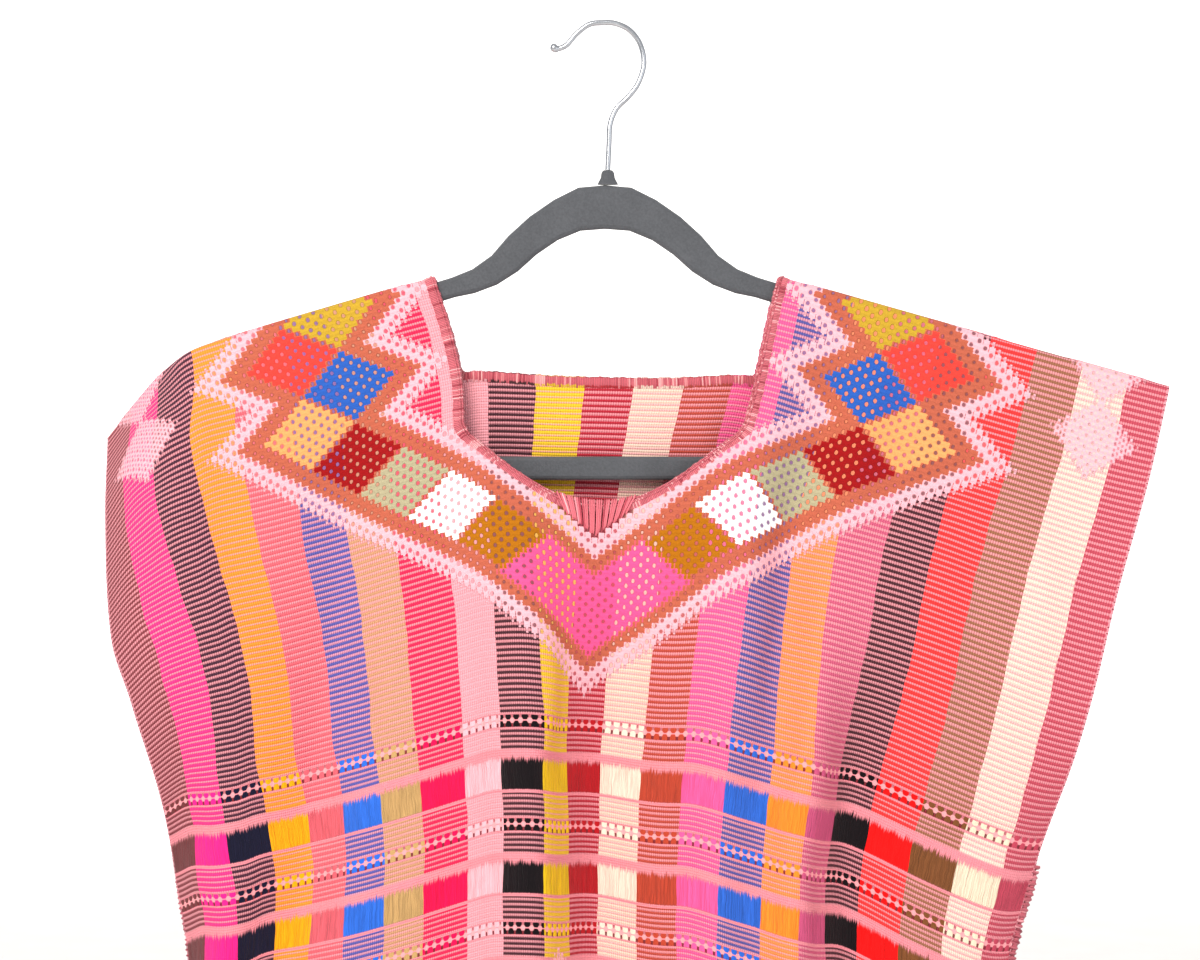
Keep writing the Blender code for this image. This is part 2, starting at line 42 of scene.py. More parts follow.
print("frame loaded")


def tone(code):
    # a screen colour such as #D96A72 as linear light
    parts = np.array([int(code[i:i + 2], 16) / 255 for i in (1, 3, 5)])
    light = np.where(parts <= 0.04045, parts / 12.92, ((parts + 0.055) / 1.055) ** 2.4)
    return (float(light[0]), float(light[1]), float(light[2]), 1.0)


class Wire:
    # one value in a material; sums, products and quotients add Math nodes
    def __init__(self, dye, socket):
        self.dye = dye
        self.socket = socket

    def math(self, operation, *values):
        return self.dye.node("ShaderNodeMath", {"operation": operation}, dict(enumerate(values)))

    def __add__(self, other):
        return self.math("ADD", self, other)

    def __radd__(self, other):
        return self.math("ADD", other, self)

    def __sub__(self, other):
        return self.math("SUBTRACT", self, other)

    def __rsub__(self, other):
        return self.math("SUBTRACT", other, self)

    def __mul__(self, other):
        return self.math("MULTIPLY", self, other)

    def __truediv__(self, other):
        return self.math("DIVIDE", self, other)

    def floor(self):
        return self.math("FLOOR", self)

    def fract(self):
        return self.math("FRACT", self)

    def size(self):
        return self.math("ABSOLUTE", self)

    def cosine(self):
        return self.math("COSINE", self)

    def least(self, other):
        return self.math("MINIMUM", self, other)

    def most(self, other):
        return self.math("MAXIMUM", self, other)

    def snap(self, step):
        return self.math("SNAP", self + step / 2, step)

    def wrap(self, low, high):
        return self.math("WRAP", self, high, low)

    def tent(self, period):
        # 0 at whole periods, 1 half way between them
        return ((self / period).fract() - 0.5).size() * -2 + 1

    def step(self, low, high):
        # 0 up to low, 1 from high, soft between; falls instead of rising when low is above high
        return self.dye.node("ShaderNodeMapRange", {"interpolation_type": "SMOOTHSTEP"},
                             {0: self, 1: low, 2: high, 3: 0.0, 4: 1.0})


class Dye:
    # one material under construction
    def __init__(self, name):
        self.material = bpy.data.materials.new(name)
        self.material.use_nodes = True
        self.tree = self.material.node_tree
        self.shader = self.tree.nodes["Principled BSDF"]

    def node(self, kind, settings, values, output=0):
        # a node of this kind: its settings first, then the values or links of its sockets
        made = self.tree.nodes.new(kind)
        for key, setting in settings.items():
            if key == "stops":
                made.color_ramp.interpolation = "CONSTANT"
                while len(made.color_ramp.elements) < len(setting):
                    made.color_ramp.elements.new(0.5)
                for element, (position, colour) in zip(made.color_ramp.elements, setting):
                    element.position = position
                    element.color = colour
            else:
                setattr(made, key, setting)
        for key, value in values.items():
            if isinstance(value, Wire):
                self.tree.links.new(value.socket, made.inputs[key])
            else:
                made.inputs[key].default_value = value
        return Wire(self, made.outputs[output])

    def point(self, x, y=0.0, z=0.0):
        return self.node("ShaderNodeCombineXYZ", {}, {0: x, 1: y, 2: z})

    def mapped(self, name):
        # the two values of one of the piece's own maps
        source = self.node("ShaderNodeUVMap", {"uv_map": name}, {})
        first = self.node("ShaderNodeSeparateXYZ", {}, {0: source})
        return first, Wire(self, first.socket.node.outputs[1])

    def noise(self, spot, detail, scale=1.0):
        # even noise round zero
        return self.node("ShaderNodeTexNoise", {}, {"Vector": spot, "Scale": scale, "Detail": detail}) - 0.5

    def chance(self, spot):
        # an even random number for each whole-numbered spot
        return self.node("ShaderNodeTexWhiteNoise", {"noise_dimensions": "3D"}, {"Vector": spot})

    def blend(self, share, first, second):
        return self.node("ShaderNodeMix", {"data_type": "RGBA"}, {0: share, 6: first, 7: second}, 2)

    def shade(self, colour, amount):
        # a colour made lighter or darker by a number
        plain = colour if isinstance(colour, Wire) else colour[:3]
        return self.node("ShaderNodeVectorMath", {"operation": "SCALE"}, {0: plain, "Scale": amount})

    def finish(self, colour, rough, height, settings, depth=mm):
        # link what varies over the surface, height as a bump in units of depth; settings are constant
        bump = self.node("ShaderNodeBump", {}, {"Strength": 1.0, "Distance": depth, "Height": height})
        for name, value in settings.items():
            self.shader.inputs[name].default_value = value
        for name, value in (("Base Color", colour), ("Roughness", rough), ("Normal", bump)):
            self.tree.links.new(value.socket, self.shader.inputs[name])
        return self.material


web = {
    "stripePitch": 24.5, "edgeStripe": 21.5, "stripes": 23, "length": 600, "wall": 1.6,
    "shoulderTop": -131.5, "shoulderStart": 66, "shoulderAngle": 16.3, "archRadius": 4.1,
    "shoulderRound": 6, "droopStart": 3.0, "droopSlope": 0.34, "cuffStart": 1.0, "cuffSlope": 0.12,
    "droopRound": 8, "droopFade": 70, "hangerEnd": (2.0, 3.1), "slackFade": 80,
    "neckHalf": 72, "neckSide": 84, "neckPoint": 122.5, "neckRound": 150, "neckLean": 1.25,
    "backNeck": 50, "neckSpread": 37, "neckSpreadEnd": 120, "neckEase": 10, "binding": 5.6,
    "tuck": 2.5, "armhole": 250, "foldRound": 7.5, "seamStart": 60, "seamReach": 90,
}
middle = web["stripes"] / 2
halfWeb = (middle - 1) * web["stripePitch"] + web["edgeStripe"]
# the cloth's rows stretch a little on the right: share, u where it starts and u where it is whole
rightStretch = ((0.035, -10, 60), (0.045, 170, halfWeb))
stretchFade = (240, 340)

# fold name, thread number at each of threadRows below the shoulder, depth at each of foldRows
threadRows = (50, 350)
foldRows = (0, 50, 150, 250, 350, 600)
frontFolds = (
    ("left selvedge",      0.0,  0.0,  23,   1, -20,   3.1,   3.1,   3.1),
    ("left curl",          1.0,  0.8,  19, -11, -31, -11, -12, -10),
    ("left outer crest",   2.2,  1.8,   5, -21, -30, -27, -30, -26),
    ("hanger end",         3.2,  2.5,   0, -11, -26, -22, -14, -12),
    ("left valley",        6.4,  3.2,   0,  -3,  -6,  -7,  -8,  -8),
    ("left inner crest",   7.6,  4.8,   0,  -2, -16, -24, -28, -27),
    ("left breast",        8.4,  8.2,   0,  -1, -13, -25, -28, -20),
    ("centre crest",       9.8,  9.8,   0,   0, -26, -47, -50, -45),
    ("centre flank",      11.0, 11.0,   0,   0, -11, -18, -23, -21),
    ("centre valley",     12.1, 12.1,   0,   0,  -4,   0,   0,   0),
    ("right breast",      15.0, 15.0,   0,  -6, -25, -27, -28, -26),
    ("right valley",      16.0, 16.0,   0,   0,  -3, -13, -19, -15),
    ("right crest",       17.0, 17.0,   0,  -6, -22, -34, -37, -36),
    ("right deep valley", 17.4, 19.0,   0,  -1, -19,   0,   0,   0),
    ("right flat",        20.0, 20.4,   0,  -2, -15, -11, -14, -18),
    ("right outer",       22.0, 22.0,   0,  -3, -15,  -9, -11, -11),
    ("right selvedge",    23.0, 23.0,   0,  -7, -17,   3.1,   3.1,   3.1),
)
backFolds = (
    ("left selvedge",      0.0,  0.0,  23,  36,  30,  -3.1,  -3.1,  -3.1),
    ("left curl",          1.0,  1.4,  19,  34,  32,  16,  20,  18),
    ("left outer crest",   2.2,  3.0,   5,  26,  30,  24,  12,  10),
    ("hanger end",         3.2,  5.0,   0,  12,  20,  24,  28,  24),
    ("left blade",         6.0,  7.0,   0,   2,  10,   6,   4,   6),
    ("left middle",        9.0,  9.4,   0,   1,  14,  28,  32,  28),
    ("centre",            12.0, 11.8,   0,   0,   6,   4,   2,   4),
    ("right middle",      14.5, 14.0,   0,   0,  12,  26,  32,  28),
    ("right blade",       17.0, 17.0,   0,   1,   8,   6,   4,   6),
    ("right outer crest", 20.0, 19.8,   0,   2,  14,  22,  28,  24),
    ("right edge",        22.0, 22.0,   0,   5,  14,  12,  14,  11),
    ("right selvedge",    23.0, 23.0,   0,   8,  16,  -3.1,  -3.1,  -3.1),
)
# distance below the shoulder, x of the left and of the right selvedge, sway of the middle
outline = np.array((
    (0, -267, 298, -5), (50, -263, 285, -6), (115, -256, 265, -9), (150, -245, 256, -11),
    (200, -233, 243, -11), (250, -226, 227, -9), (300, -219, 213, -5), (350, -219, 209, -2),
    (600, -226, 214, 0),
))


def threadAt(number):
    # u of a stripe edge; the two outer stripes are narrower
    number = np.asarray(number, float)
    inner = (np.clip(number, 1, web["stripes"] - 1) - middle) * web["stripePitch"]
    outer = np.clip(number - web["stripes"] + 1, 0, 1) - np.clip(1 - number, 0, 1)
    return inner + outer * web["edgeStripe"]


def ease(x, start, end):
    # 3t² - 2t³ of the way from start to end
    t = np.clip((x - start) / (end - start), 0, 1)
    return t * t * (3 - 2 * t)


def softRamp(x, width):
    # half of x plus the root of x² + width²: a ramp with a round corner
    return (x + np.sqrt(x * x + width * width)) / 2


def through(x, knots, values):
    # cubic through the knots whose slope is a harmonic mean, so it never overshoots
    knots = np.asarray(knots, float)
    values = np.asarray(values, float)
    spans = np.diff(knots)
    steps = np.diff(values) / spans
    before = 2 * spans[1:] + spans[:-1]
    after = spans[1:] + 2 * spans[:-1]
    same = steps[:-1] * steps[1:] > 0
    safe = [np.where(same, side, 1.0) for side in (steps[:-1], steps[1:])]
    inner = np.where(same, (before + after) / (before / safe[0] + after / safe[1]), 0.0)
    slopes = np.concatenate([steps[:1], inner, steps[-1:]])
    x = np.clip(x, knots[0], knots[-1])
    i = np.clip(np.searchsorted(knots, x, side="right") - 1, 0, len(spans) - 1)
    t = (x - knots[i]) / spans[i]
    start = (1 + 2 * t) * (1 - t) ** 2 * values[i] + t * (1 - t) ** 2 * spans[i] * slopes[i]
    return start + t * t * (3 - 2 * t) * values[i + 1] + t * t * (t - 1) * spans[i] * slopes[i + 1]


def running(values, stations, axis):
    # running integral by trapezoids
    values = np.moveaxis(values, axis, 0)
    total = np.zeros_like(values)
    width = np.diff(stations).reshape((-1,) + (1,) * (values.ndim - 1))
    total[1:] = np.cumsum((values[1:] + values[:-1]) / 2 * width, axis=0)
    return np.moveaxis(total, 0, axis)


def foldDepth(u, v, folds):
    # straight flanks between fold lines, each corner a soft ramp, with the ends held at the selvedges
    low = np.clip((v - threadRows[0]) / (threadRows[1] - threadRows[0]), 0, 1)
    lines = [threadAt(fold[1] + (fold[2] - fold[1]) * low) for fold in folds]
    depths = [through(v, foldRows, fold[3:]) for fold in folds]
    flanks = [(depths[i + 1] - depths[i]) / (lines[i + 1] - lines[i]) for i in range(len(folds) - 1)]
    flanks = [flanks[0]] + flanks + [flanks[-1]]
    depth = depths[0][:, None] + flanks[0][:, None] * (u[None, :] - lines[0][:, None])
    for before, after, line in zip(flanks, flanks[1:], lines):
        depth += (after - before)[:, None] * softRamp(u[None, :] - line[:, None], web["foldRound"])
    side = (u[None, :] + halfWeb) / (2 * halfWeb)
    leftError = depth[:, :1] - depths[0][:, None]
    rightError = depth[:, -1:] - depths[-1][:, None]
    return depth - leftError * (1 - side) ** 2 - rightError * side ** 2


def sleeveDroop(u):
    # two soft ramps that start where the cloth leaves the hanger's left end
    droop = web["droopSlope"] * softRamp(threadAt(web["droopStart"]) - u, web["droopRound"])
    return droop + web["cuffSlope"] * softRamp(threadAt(web["cuffStart"]) - u, web["droopRound"])


def ridgeHeight(u):
    # the shoulder fold falls with the hanger's arms and droops past their left end
    start, rounding = web["shoulderStart"], web["shoulderRound"]
    arms = softRamp(u - start, rounding) + softRamp(-u - start, rounding)
    return web["shoulderTop"] - np.sin(np.radians(web["shoulderAngle"])) * arms - sleeveDroop(u)


def hangCloth(u, v, folds, side):
    # x and z are running integrals of what the depth's slopes leave of each thread's length
    depth = foldDepth(u, v, folds)
    ridge = ridgeHeight(u)
    levelling = ease(v, 0, web["droopFade"])[:, None]
    rowSlope = np.gradient(ridge, u)[None, :] + levelling * np.gradient(sleeveDroop(u), u)[None, :]
    planWidth = np.sqrt(np.clip(1 - rowSlope ** 2 - np.gradient(depth, u, axis=1) ** 2, 0.04, 1))
    spread = web["neckSpread"] * np.clip(1 - v / web["neckSpreadEnd"], 0, 1) ** 2
    opening = np.clip(1 - (u / (web["neckHalf"] + web["neckEase"])) ** 2, 0, 1)
    opening = opening / running(opening, u, 0)[-1]
    run = running(planWidth + spread[:, None] * opening[None, :], u, 1)
    left, right, sway = (through(v, outline[:, 0], outline[:, k])[:, None] for k in (1, 2, 3))
    x = left + (right - left) * run / run[:, -1:] + sway * (1 - (u[None, :] / halfWeb) ** 2)
    arch = web["archRadius"] * np.sin(np.clip(v / web["archRadius"], 0, np.pi / 2))
    slack = web["archRadius"] * ease(v, 0, web["slackFade"])
    onHanger = ease(u, *threadAt(web["hangerEnd"])) if side < 0 else np.ones_like(u)
    y = depth + side * (arch[:, None] * onHanger[None, :] + slack[:, None] * (1 - onHanger[None, :]))
    stretch = sum(share * ease(u, start, full) for share, start, full in rightStretch)
    stretch = 1 + stretch[None, :] * (1 - ease(v, *stretchFade))[:, None]
    lean = np.gradient(x, v, axis=0) ** 2 + np.gradient(y, v, axis=0) ** 2
    z = ridge[None, :] - running(np.sqrt(np.clip(1 - lean, 0.02, 1)) * stretch, v, 0)
    return np.stack([x, y, z], axis=-1)


# the grid that a panel is worked out on: columns a stripe, the close rows by the fold and the rest
net = {"columns": 8, "closeTo": 12, "closeStep": 0.5, "rows": 197}


class Panel:
    # one hung panel, sampled between the points of a fine grid
    def __init__(self, folds, side, creases, joined=None):
        self.u = threadAt(np.linspace(0, web["stripes"], net["columns"] * web["stripes"] + 1))
        closeRows = np.arange(0, net["closeTo"], net["closeStep"])
        self.v = np.concatenate([closeRows, np.linspace(net["closeTo"], web["length"], net["rows"])])
        self.side = side
        self.creases = creases
        self.points = hangCloth(self.u, self.v, folds, side)
        if joined is not None:
            # raise or lower the selvedges to the other panel's
            heights = self.points[:, :, 2]
            share = ease(self.v, web["seamStart"], web["armhole"])[:, None]
            gaps = (joined.points[:, :, 2] - heights) * share
            heights += gaps[:, :1] * np.exp(-((self.u + halfWeb) / web["seamReach"]) ** 2)
            heights += gaps[:, -1:] * np.exp(-((self.u - halfWeb) / web["seamReach"]) ** 2)
        alongWeb = np.gradient(self.points, self.u, axis=1)
        normals = np.cross(alongWeb, np.gradient(self.points, self.v, axis=0)) * side
        # on the shoulder fold the normals lean neither forward nor back, so the two panels' skins meet
        normals[0, :, 1] = 0
        self.normals = normals / np.linalg.norm(normals, axis=2, keepdims=True)

    def sample(self, grid, u, v):
        # straight lines between the grid's rows and columns
        column = np.interp(u, self.u, np.arange(len(self.u)))
        row = np.interp(v, self.v, np.arange(len(self.v)))
        i = np.clip(row.astype(int), 0, len(self.v) - 2)
        j = np.clip(column.astype(int), 0, len(self.u) - 2)
        s = (row - i)[..., None]
        t = (column - j)[..., None]
        upper = grid[i, j] * (1 - t) + grid[i, j + 1] * t
        lower = grid[i + 1, j] * (1 - t) + grid[i + 1, j + 1] * t
        return upper * (1 - s) + lower * s

    def normalAt(self, u, v):
        normal = self.sample(self.normals, u, v)
        return normal / np.linalg.norm(normal, axis=-1, keepdims=True)

    def at(self, u, v, out=0.0):
        # metres: the middle surface plus the normal times the small creases and the wanted lift
        u, v = np.broadcast_arrays(np.asarray(u, float), np.asarray(v, float))
        lift = creaseHeight(u, v, self.creases) + np.asarray(out)
        return (self.sample(self.points, u, v) + self.normalAt(u, v) * lift[..., None]) * mm


# a crease bows sideways by a share of its length; it starts and ends over these shares of its line
crease = {"bow": 0.06, "waves": 4.7, "start": (-0.15, 0.3), "end": (0.65, 1.12)}


def creaseHeight(u, v, creases):
    # each crease is a bell across its line, faded at both ends: height · exp(-(distance / width)²)
    total = np.zeros(np.broadcast(u, v).shape)
    for _, u0, v0, u1, v1, width, height in creases:
        along = np.array([u1 - u0, v1 - v0], float)
        length = np.hypot(*along)
        along /= length
        t = ((u - u0) * along[0] + (v - v0) * along[1]) / length
        away = (u - u0) * along[1] - (v - v0) * along[0]
        away = away - crease["bow"] * length * np.sin(t * crease["waves"] + u0)
        ends = ease(t, *crease["start"]) * (1 - ease(t, *crease["end"]))
        total += height * np.exp(-(away / width) ** 2) * ends
    return total


# crease name, u and v of both ends, half width, height (a trough is negative)
frontCreases = (
    ("left sleeve pull",     -262,  70, -226, 176,  9, -2.9),
    ("left sleeve roll",     -246,  60, -214, 150, 11,  2.6),
    ("left armpit tuck",     -270, 238, -206, 262,  8, -1.6),
    ("left armpit ridge",    -268, 262, -214, 284,  8,  1.5),
    ("left seam pucker",     -272, 330, -238, 344,  7, -1.1),
    ("left neck pull",        -96,  66,  -66, 120,  9, -1.6),
    ("left breast dent",     -150, 196, -128, 262, 12, -2.4),
    ("left waist roll",      -118, 262, -104, 360, 11,  1.9),
    ("point pull left",       -26, 186,  -38, 262,  9,  2.4),
    ("point pull right",       18, 176,   30, 250, 10, -2.2),
    ("right breast roll",      96, 150,  104, 236, 10,  2.1),
    ("right breast dent",     120, 168,  128, 252, 11, -1.9),
    ("right sleeve pull",     196,  88,  232, 196, 12, -2.7),
    ("right sleeve roll",     226,  80,  252, 176, 11,  2.1),
    ("right armpit tuck",     206, 256,  268, 242,  8, -1.7),
    ("right armpit ridge",    214, 278,  270, 266,  8,  1.6),
    ("right seam pucker",     242, 306,  274, 296,  7, -1.3),
    ("right seam ridge",      240, 330,  274, 322,  7,  1.2),
    ("right waist dent",      150, 268,  146, 372, 12, -2.1),
    ("low left dent",        -190, 380, -176, 520, 13, -2.6),
    ("low left roll",         -70, 400,  -78, 560, 14,  2.6),
    ("low centre dent",        22, 420,   30, 560, 12, -2.4),
    ("low right roll",        118, 400,  124, 540, 14,  2.4),
    ("low right dent",        206, 410,  200, 560, 12, -2.4),
)
backCreases = (
    ("left sleeve pull",     -260,  60, -222, 170,  9,  2.7),
    ("left blade dent",      -180,  90, -160, 220, 14, -2.7),
    ("neck pull left",        -60,  70,  -52, 190, 10, -2.1),
    ("neck pull right",        56,  66,   48, 180, 10, -1.9),
    ("centre roll",            -6, 120,    4, 300, 13,  2.4),
    ("right blade dent",      168, 100,  150, 230, 14, -2.6),
    ("right sleeve pull",     258,  70,  226, 180,  9,  2.4),
    ("left armpit tuck",     -268, 246, -212, 268,  8, -1.5),
    ("right armpit tuck",     268, 246,  212, 264,  8, -1.5),
    ("left waist roll",      -150, 260, -142, 400, 12,  2.4),
    ("right waist roll",      118, 280,  126, 420, 12,  2.2),
    ("low left dent",        -100, 380,  -92, 560, 13, -2.6),
    ("low right dent",         74, 400,   66, 570, 13, -2.4),
    ("left seam pucker",     -272, 320, -240, 332,  7, -1.2),
    ("right seam pucker",     272, 318,  240, 330,  7, -1.2),
)


def frontNeck(u, inset=0.0):
    # v of the front neck edge: a V with a rounded point, moved into the cloth by inset
    rounding = web["neckRound"]
    rise = (web["neckPoint"] - web["neckSide"]) / (np.hypot(web["neckHalf"], rounding) - rounding)
    return web["neckPoint"] + web["neckLean"] * inset - rise * (np.hypot(u, rounding) - rounding)


neckSag = {"corner": 4.0, "middle": 2.5}


def backNeck(u, inset=0.0):
    # v of the back neck edge: straight, with a slight sag between its corners
    sag = 1 - np.clip(np.asarray(u, float) / web["neckHalf"], -1, 1) ** 2
    return web["backNeck"] + neckSag["corner"] + neckSag["middle"] * sag + inset


def gridFaces(rows, columns, wrapped=False):
    # the four corners of each cell of a grid stored row by row
    last = columns if wrapped else columns - 1
    i, j = np.meshgrid(np.arange(rows - 1), np.arange(last), indexing="ij")
    k = (j + 1) % columns
    corners = [i * columns + j, i * columns + k, (i + 1) * columns + k, (i + 1) * columns + j]
    return np.stack(corners, axis=-1).reshape(-1, 4)


def makePiece(name, points, faces, material, maps, caps=(), sharp=50):
    # maps holds two numbers for each point, under the name of each map
    mesh = bpy.data.meshes.new(name)
    mesh.from_pydata(points.tolist(), [], faces.tolist() + [list(cap) for cap in caps])
    mesh.update()
    mesh.shade_smooth()
    mesh.set_sharp_from_angle(angle=np.radians(sharp))
    corners = np.zeros(len(mesh.loops), int)
    mesh.loops.foreach_get("vertex_index", corners)
    for label, values in maps.items():
        layer = mesh.uv_layers.new(name=label)
        layer.uv.foreach_set("vector", values[corners].astype(np.float32).ravel())
    item = bpy.data.objects.new(name, mesh)
    bpy.context.collection.objects.link(item)
    mesh.materials.append(material)
    return item


def place(item, slot, *nodes):
    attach(item, "root")
    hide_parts(*nodes)
    print("made", item.name, len(item.data.polygons), "faces")
    return item


def sweep(name, paths, out, wide, thick, sides, material, runs, webPlace=None):
    # for each path: centre + across·wide·cos(a) + out·thick·sin(a), with both ends capped
    strands, stations = paths.shape[:2]
    tangent = np.gradient(paths, axis=1)
    tangent /= np.linalg.norm(tangent, axis=2, keepdims=True)
    out = out - tangent * np.sum(out * tangent, axis=2, keepdims=True)
    out /= np.linalg.norm(out, axis=2, keepdims=True)
    across = np.cross(tangent, out)
    turn = np.linspace(0, 2 * np.pi, sides, endpoint=False)[:, None]
    wide, thick, runs = (np.broadcast_to(part, (strands, stations))[:, :, None, None]
                         for part in (wide, thick, runs))
    points = paths[:, :, None] + across[:, :, None] * wide * np.cos(turn)
    points = points + out[:, :, None] * thick * np.sin(turn)
    first = np.arange(strands)[:, None] * stations * sides
    faces = (gridFaces(stations, sides, True)[None, :, ::-1] + first[:, :, None]).reshape(-1, 4)
    ring = np.arange(sides)[None, :]
    caps = (first + ring).tolist() + (first + (stations - 1) * sides + ring[:, ::-1]).tolist()
    around = np.broadcast_to(turn[:, 0] / (2 * np.pi), (strands, stations, sides))
    along = np.broadcast_to(runs[..., 0], around.shape)
    maps = {"stitch": np.stack([along, around], axis=-1).reshape(-1, 2)}
    if webPlace is not None:
        maps["web"] = np.repeat(webPlace.reshape(-1, 2), sides, axis=0)
    return makePiece(name, points.reshape(-1, 3), faces, material, maps, caps, 70)


def evenly(u, v, spacing):
    # points every spacing along a line, smooth through its knots
    length = np.concatenate([[0], np.cumsum(np.hypot(np.diff(u), np.diff(v)))])
    stations = np.linspace(0, length[-1], int(length[-1] / spacing) + 2)
    return through(stations, length, u), through(stations, length, v), stations


# stripe name, thread colour in the ribs, colour of the long floats, share of the rib pair it takes
stripes = (
    ("brown",       "#7A343A", "#6E3436", 0.52),
    ("hot pink",    "#FF2F86", "#FF2488", 0.68),
    ("navy",        "#24142A", "#14142C", 0.56),
    ("orange",      "#FF9A26", "#FFA810", 0.72),
    ("salmon",      "#EC6470", "#DE606C", 0.60),
    ("blue",        "#4658AA", "#2F6BD6", 0.56),
    ("tan",         "#CE9A6E", "#C29A63", 0.55),
    ("crimson",     "#F01850", "#F5104F", 0.62),
    ("light pink",  "#FBA9B3", "#FCB4BD", 0.60),
    ("black",       "#20121A", "#120A0E", 0.54),
    ("yellow",      "#F2C81E", "#E8BE12", 0.72),
    ("dark red",    "#B3162A", "#B3161F", 0.50),
    ("cream",       "#FBD6C0", "#F6DCC8", 0.64),
    ("rust",        "#B8442F", "#B8442F", 0.52),
    ("rose pink",   "#FF5A98", "#FF5B9A", 0.66),
    ("deep blue",   "#44549E", "#2F66CC", 0.54),
    ("apricot",     "#FF9248", "#FF8A2A", 0.68),
    ("mauve",       "#D0587A", "#C9527A", 0.54),
    ("black right", "#2A121C", "#120A0E", 0.54),
    ("red",         "#FF302C", "#FF1010", 0.66),
    ("olive",       "#986644", "#7A4A28", 0.50),
    ("cream right", "#FCE2CE", "#F2DABE", 0.62),
    ("rose edge",   "#C24658", "#BE4458", 0.56),
)
# below the left shoulder the front's stripes are drawn outwards: for each pull its middle u, its reach,
# how far it draws them, and the v where it starts, is full, eases and ends
leftPulls = ((-225, 65, 10, 5, 50, 50, 135), (-180, 90, 5.5, 20, 60, 215, 260))
# the left selvedge was beaten closer: u and the span from there to where its rows lie a whole rise higher
beaten = {"from": 185, "span": 94, "rise": 27, "between": (60, 230)}
# rib pitches above and below the change of beat, and the warp's thread pitch; bead is the colour of the
# painted highlights on the pink ribs
ribs = {"pink": "#F0909A", "bead": "#FFDCE0", "upper": 2.92, "lower": 2.62, "change": 225, "thread": 1.25,
        "wander": 0.35, "stripeWander": 2.4, "width": 0.48, "edge": (0.08, -0.08), "beadEdge": (-0.02, 0.12),
        "beads": 0.28}


def stripeColour(dye, number, column):
    # the ramp's alpha is the stripe's share of the rib pair
    stops = [(i / web["stripes"], (*tone(row[column])[:3], row[3])) for i, row in enumerate(stripes)]
    return dye.node("ShaderNodeValToRGB", {"stops": stops}, {0: number})


def stripeNumber(u):
    # 0 at the left selvedge, 1 at the right
    return u / (web["stripePitch"] * web["stripes"]) + 0.5


class ClothDye(Dye):
    # the cloth's material; each function below works one more thing over what is there
    def __init__(self, name, pulls):
        super().__init__(name)
        across, down = self.mapped("web")
        self.u = across * 1000 - halfWeb
        closer = (self.u * -1 - beaten["from"]).most(0.0) / beaten["span"]
        v = down * 1000
        self.v = v + closer * closer * v.step(*beaten["between"]) * beaten["rise"]
        self.slow = self.noise(self.point(self.u * 0.016, self.v * 0.05), 1.0)
        self.fibre = self.noise(self.point(self.u * 2.3, self.v * 1.1), 2.0)
        # threadCrowns is 1 on each warp thread's crown and -1 between threads; where it scales a colour it
        # paints light on the crowns and shade between the threads
        self.threadCrowns = (self.u * (2 * np.pi / ribs["thread"])).cosine()
        lean = self.slow * ribs["stripeWander"]
        for middleU, reach, most, starts, full, eases, ends in pulls:
            bow = (self.u - middleU) / reach
            pulled = (1.0 - bow * bow).most(0.0) * self.v.step(starts, full) * self.v.step(ends, eases)
            lean = lean + pulled * most
        number = stripeNumber(self.u + lean)
        self.yarn = stripeColour(self, number, 1)
        self.share = Wire(self, self.yarn.socket.node.outputs["Alpha"])
        self.pure = stripeColour(self, number, 2)
        self.pink = tone(ribs["pink"])

    def cover(self, share, colour):
        self.colour = self.blend(share, self.colour, colour)


def weaveRibs(cloth):
    # one pink and one coloured rib in each pair, with the warp's own threads across them
    upper = cloth.v.least(ribs["change"]) / ribs["upper"]
    pairs = upper + (cloth.v - ribs["change"]).most(0.0) / ribs["lower"] + cloth.slow * ribs["wander"]
    line = ((pairs.fract() - 0.5).size() + cloth.threadCrowns * 0.035) - cloth.share * ribs["width"]
    coloured = line.step(*ribs["edge"]) * 0.62 + 0.32 + cloth.fibre * 0.25
    # bead: painted highlights on the pink ribs, brightest on the warp threads' crowns
    bead = line.step(*ribs["beadEdge"]) * (cloth.threadCrowns * 0.5 + 0.35 + cloth.fibre * 0.8)
    mixed = cloth.blend(coloured, cloth.pink, cloth.yarn)
    # fibre varies the tone at random; threadCrowns adds painted light on the warp threads and painted shade
    # between them
    cloth.colour = cloth.shade(mixed, 1.0 + cloth.fibre * 0.2 + cloth.threadCrowns * 0.05)
    cloth.cover(bead * ribs["beads"], tone(ribs["bead"]))
    # each rib is painted lighter on its swell and darker in the dip between ribs, as shading that follows the
    # bump
    swell = (pairs * (4 * np.pi)).cosine()
    cloth.colour = cloth.shade(cloth.colour, 0.95 + swell * 0.05 + cloth.threadCrowns * 0.07)
    cloth.height = swell * 0.16 + cloth.threadCrowns * 0.08 + cloth.fibre * 0.05
    cloth.rough = cloth.fibre * 0.1 + 0.86


# v of the first band and the gap to the next; the rest is measured down from the band's middle
floats = {"first": 266, "gap": 52.5, "starts": (250, 251), "top": -7.4, "ragged": 11, "tufts": 4,
          "topEdge": (-1.3, 1.1), "bottomEdge": (8.4, 7.6), "bandTop": (-12.8, -12.0),
          "bandBottom": (10.0, 9.3)}


def belowRow(cloth, first):
    # distance below the nearest of the rows that repeat down the cloth
    return cloth.v.wrap(first - floats["gap"] / 2, first + floats["gap"] / 2) - first


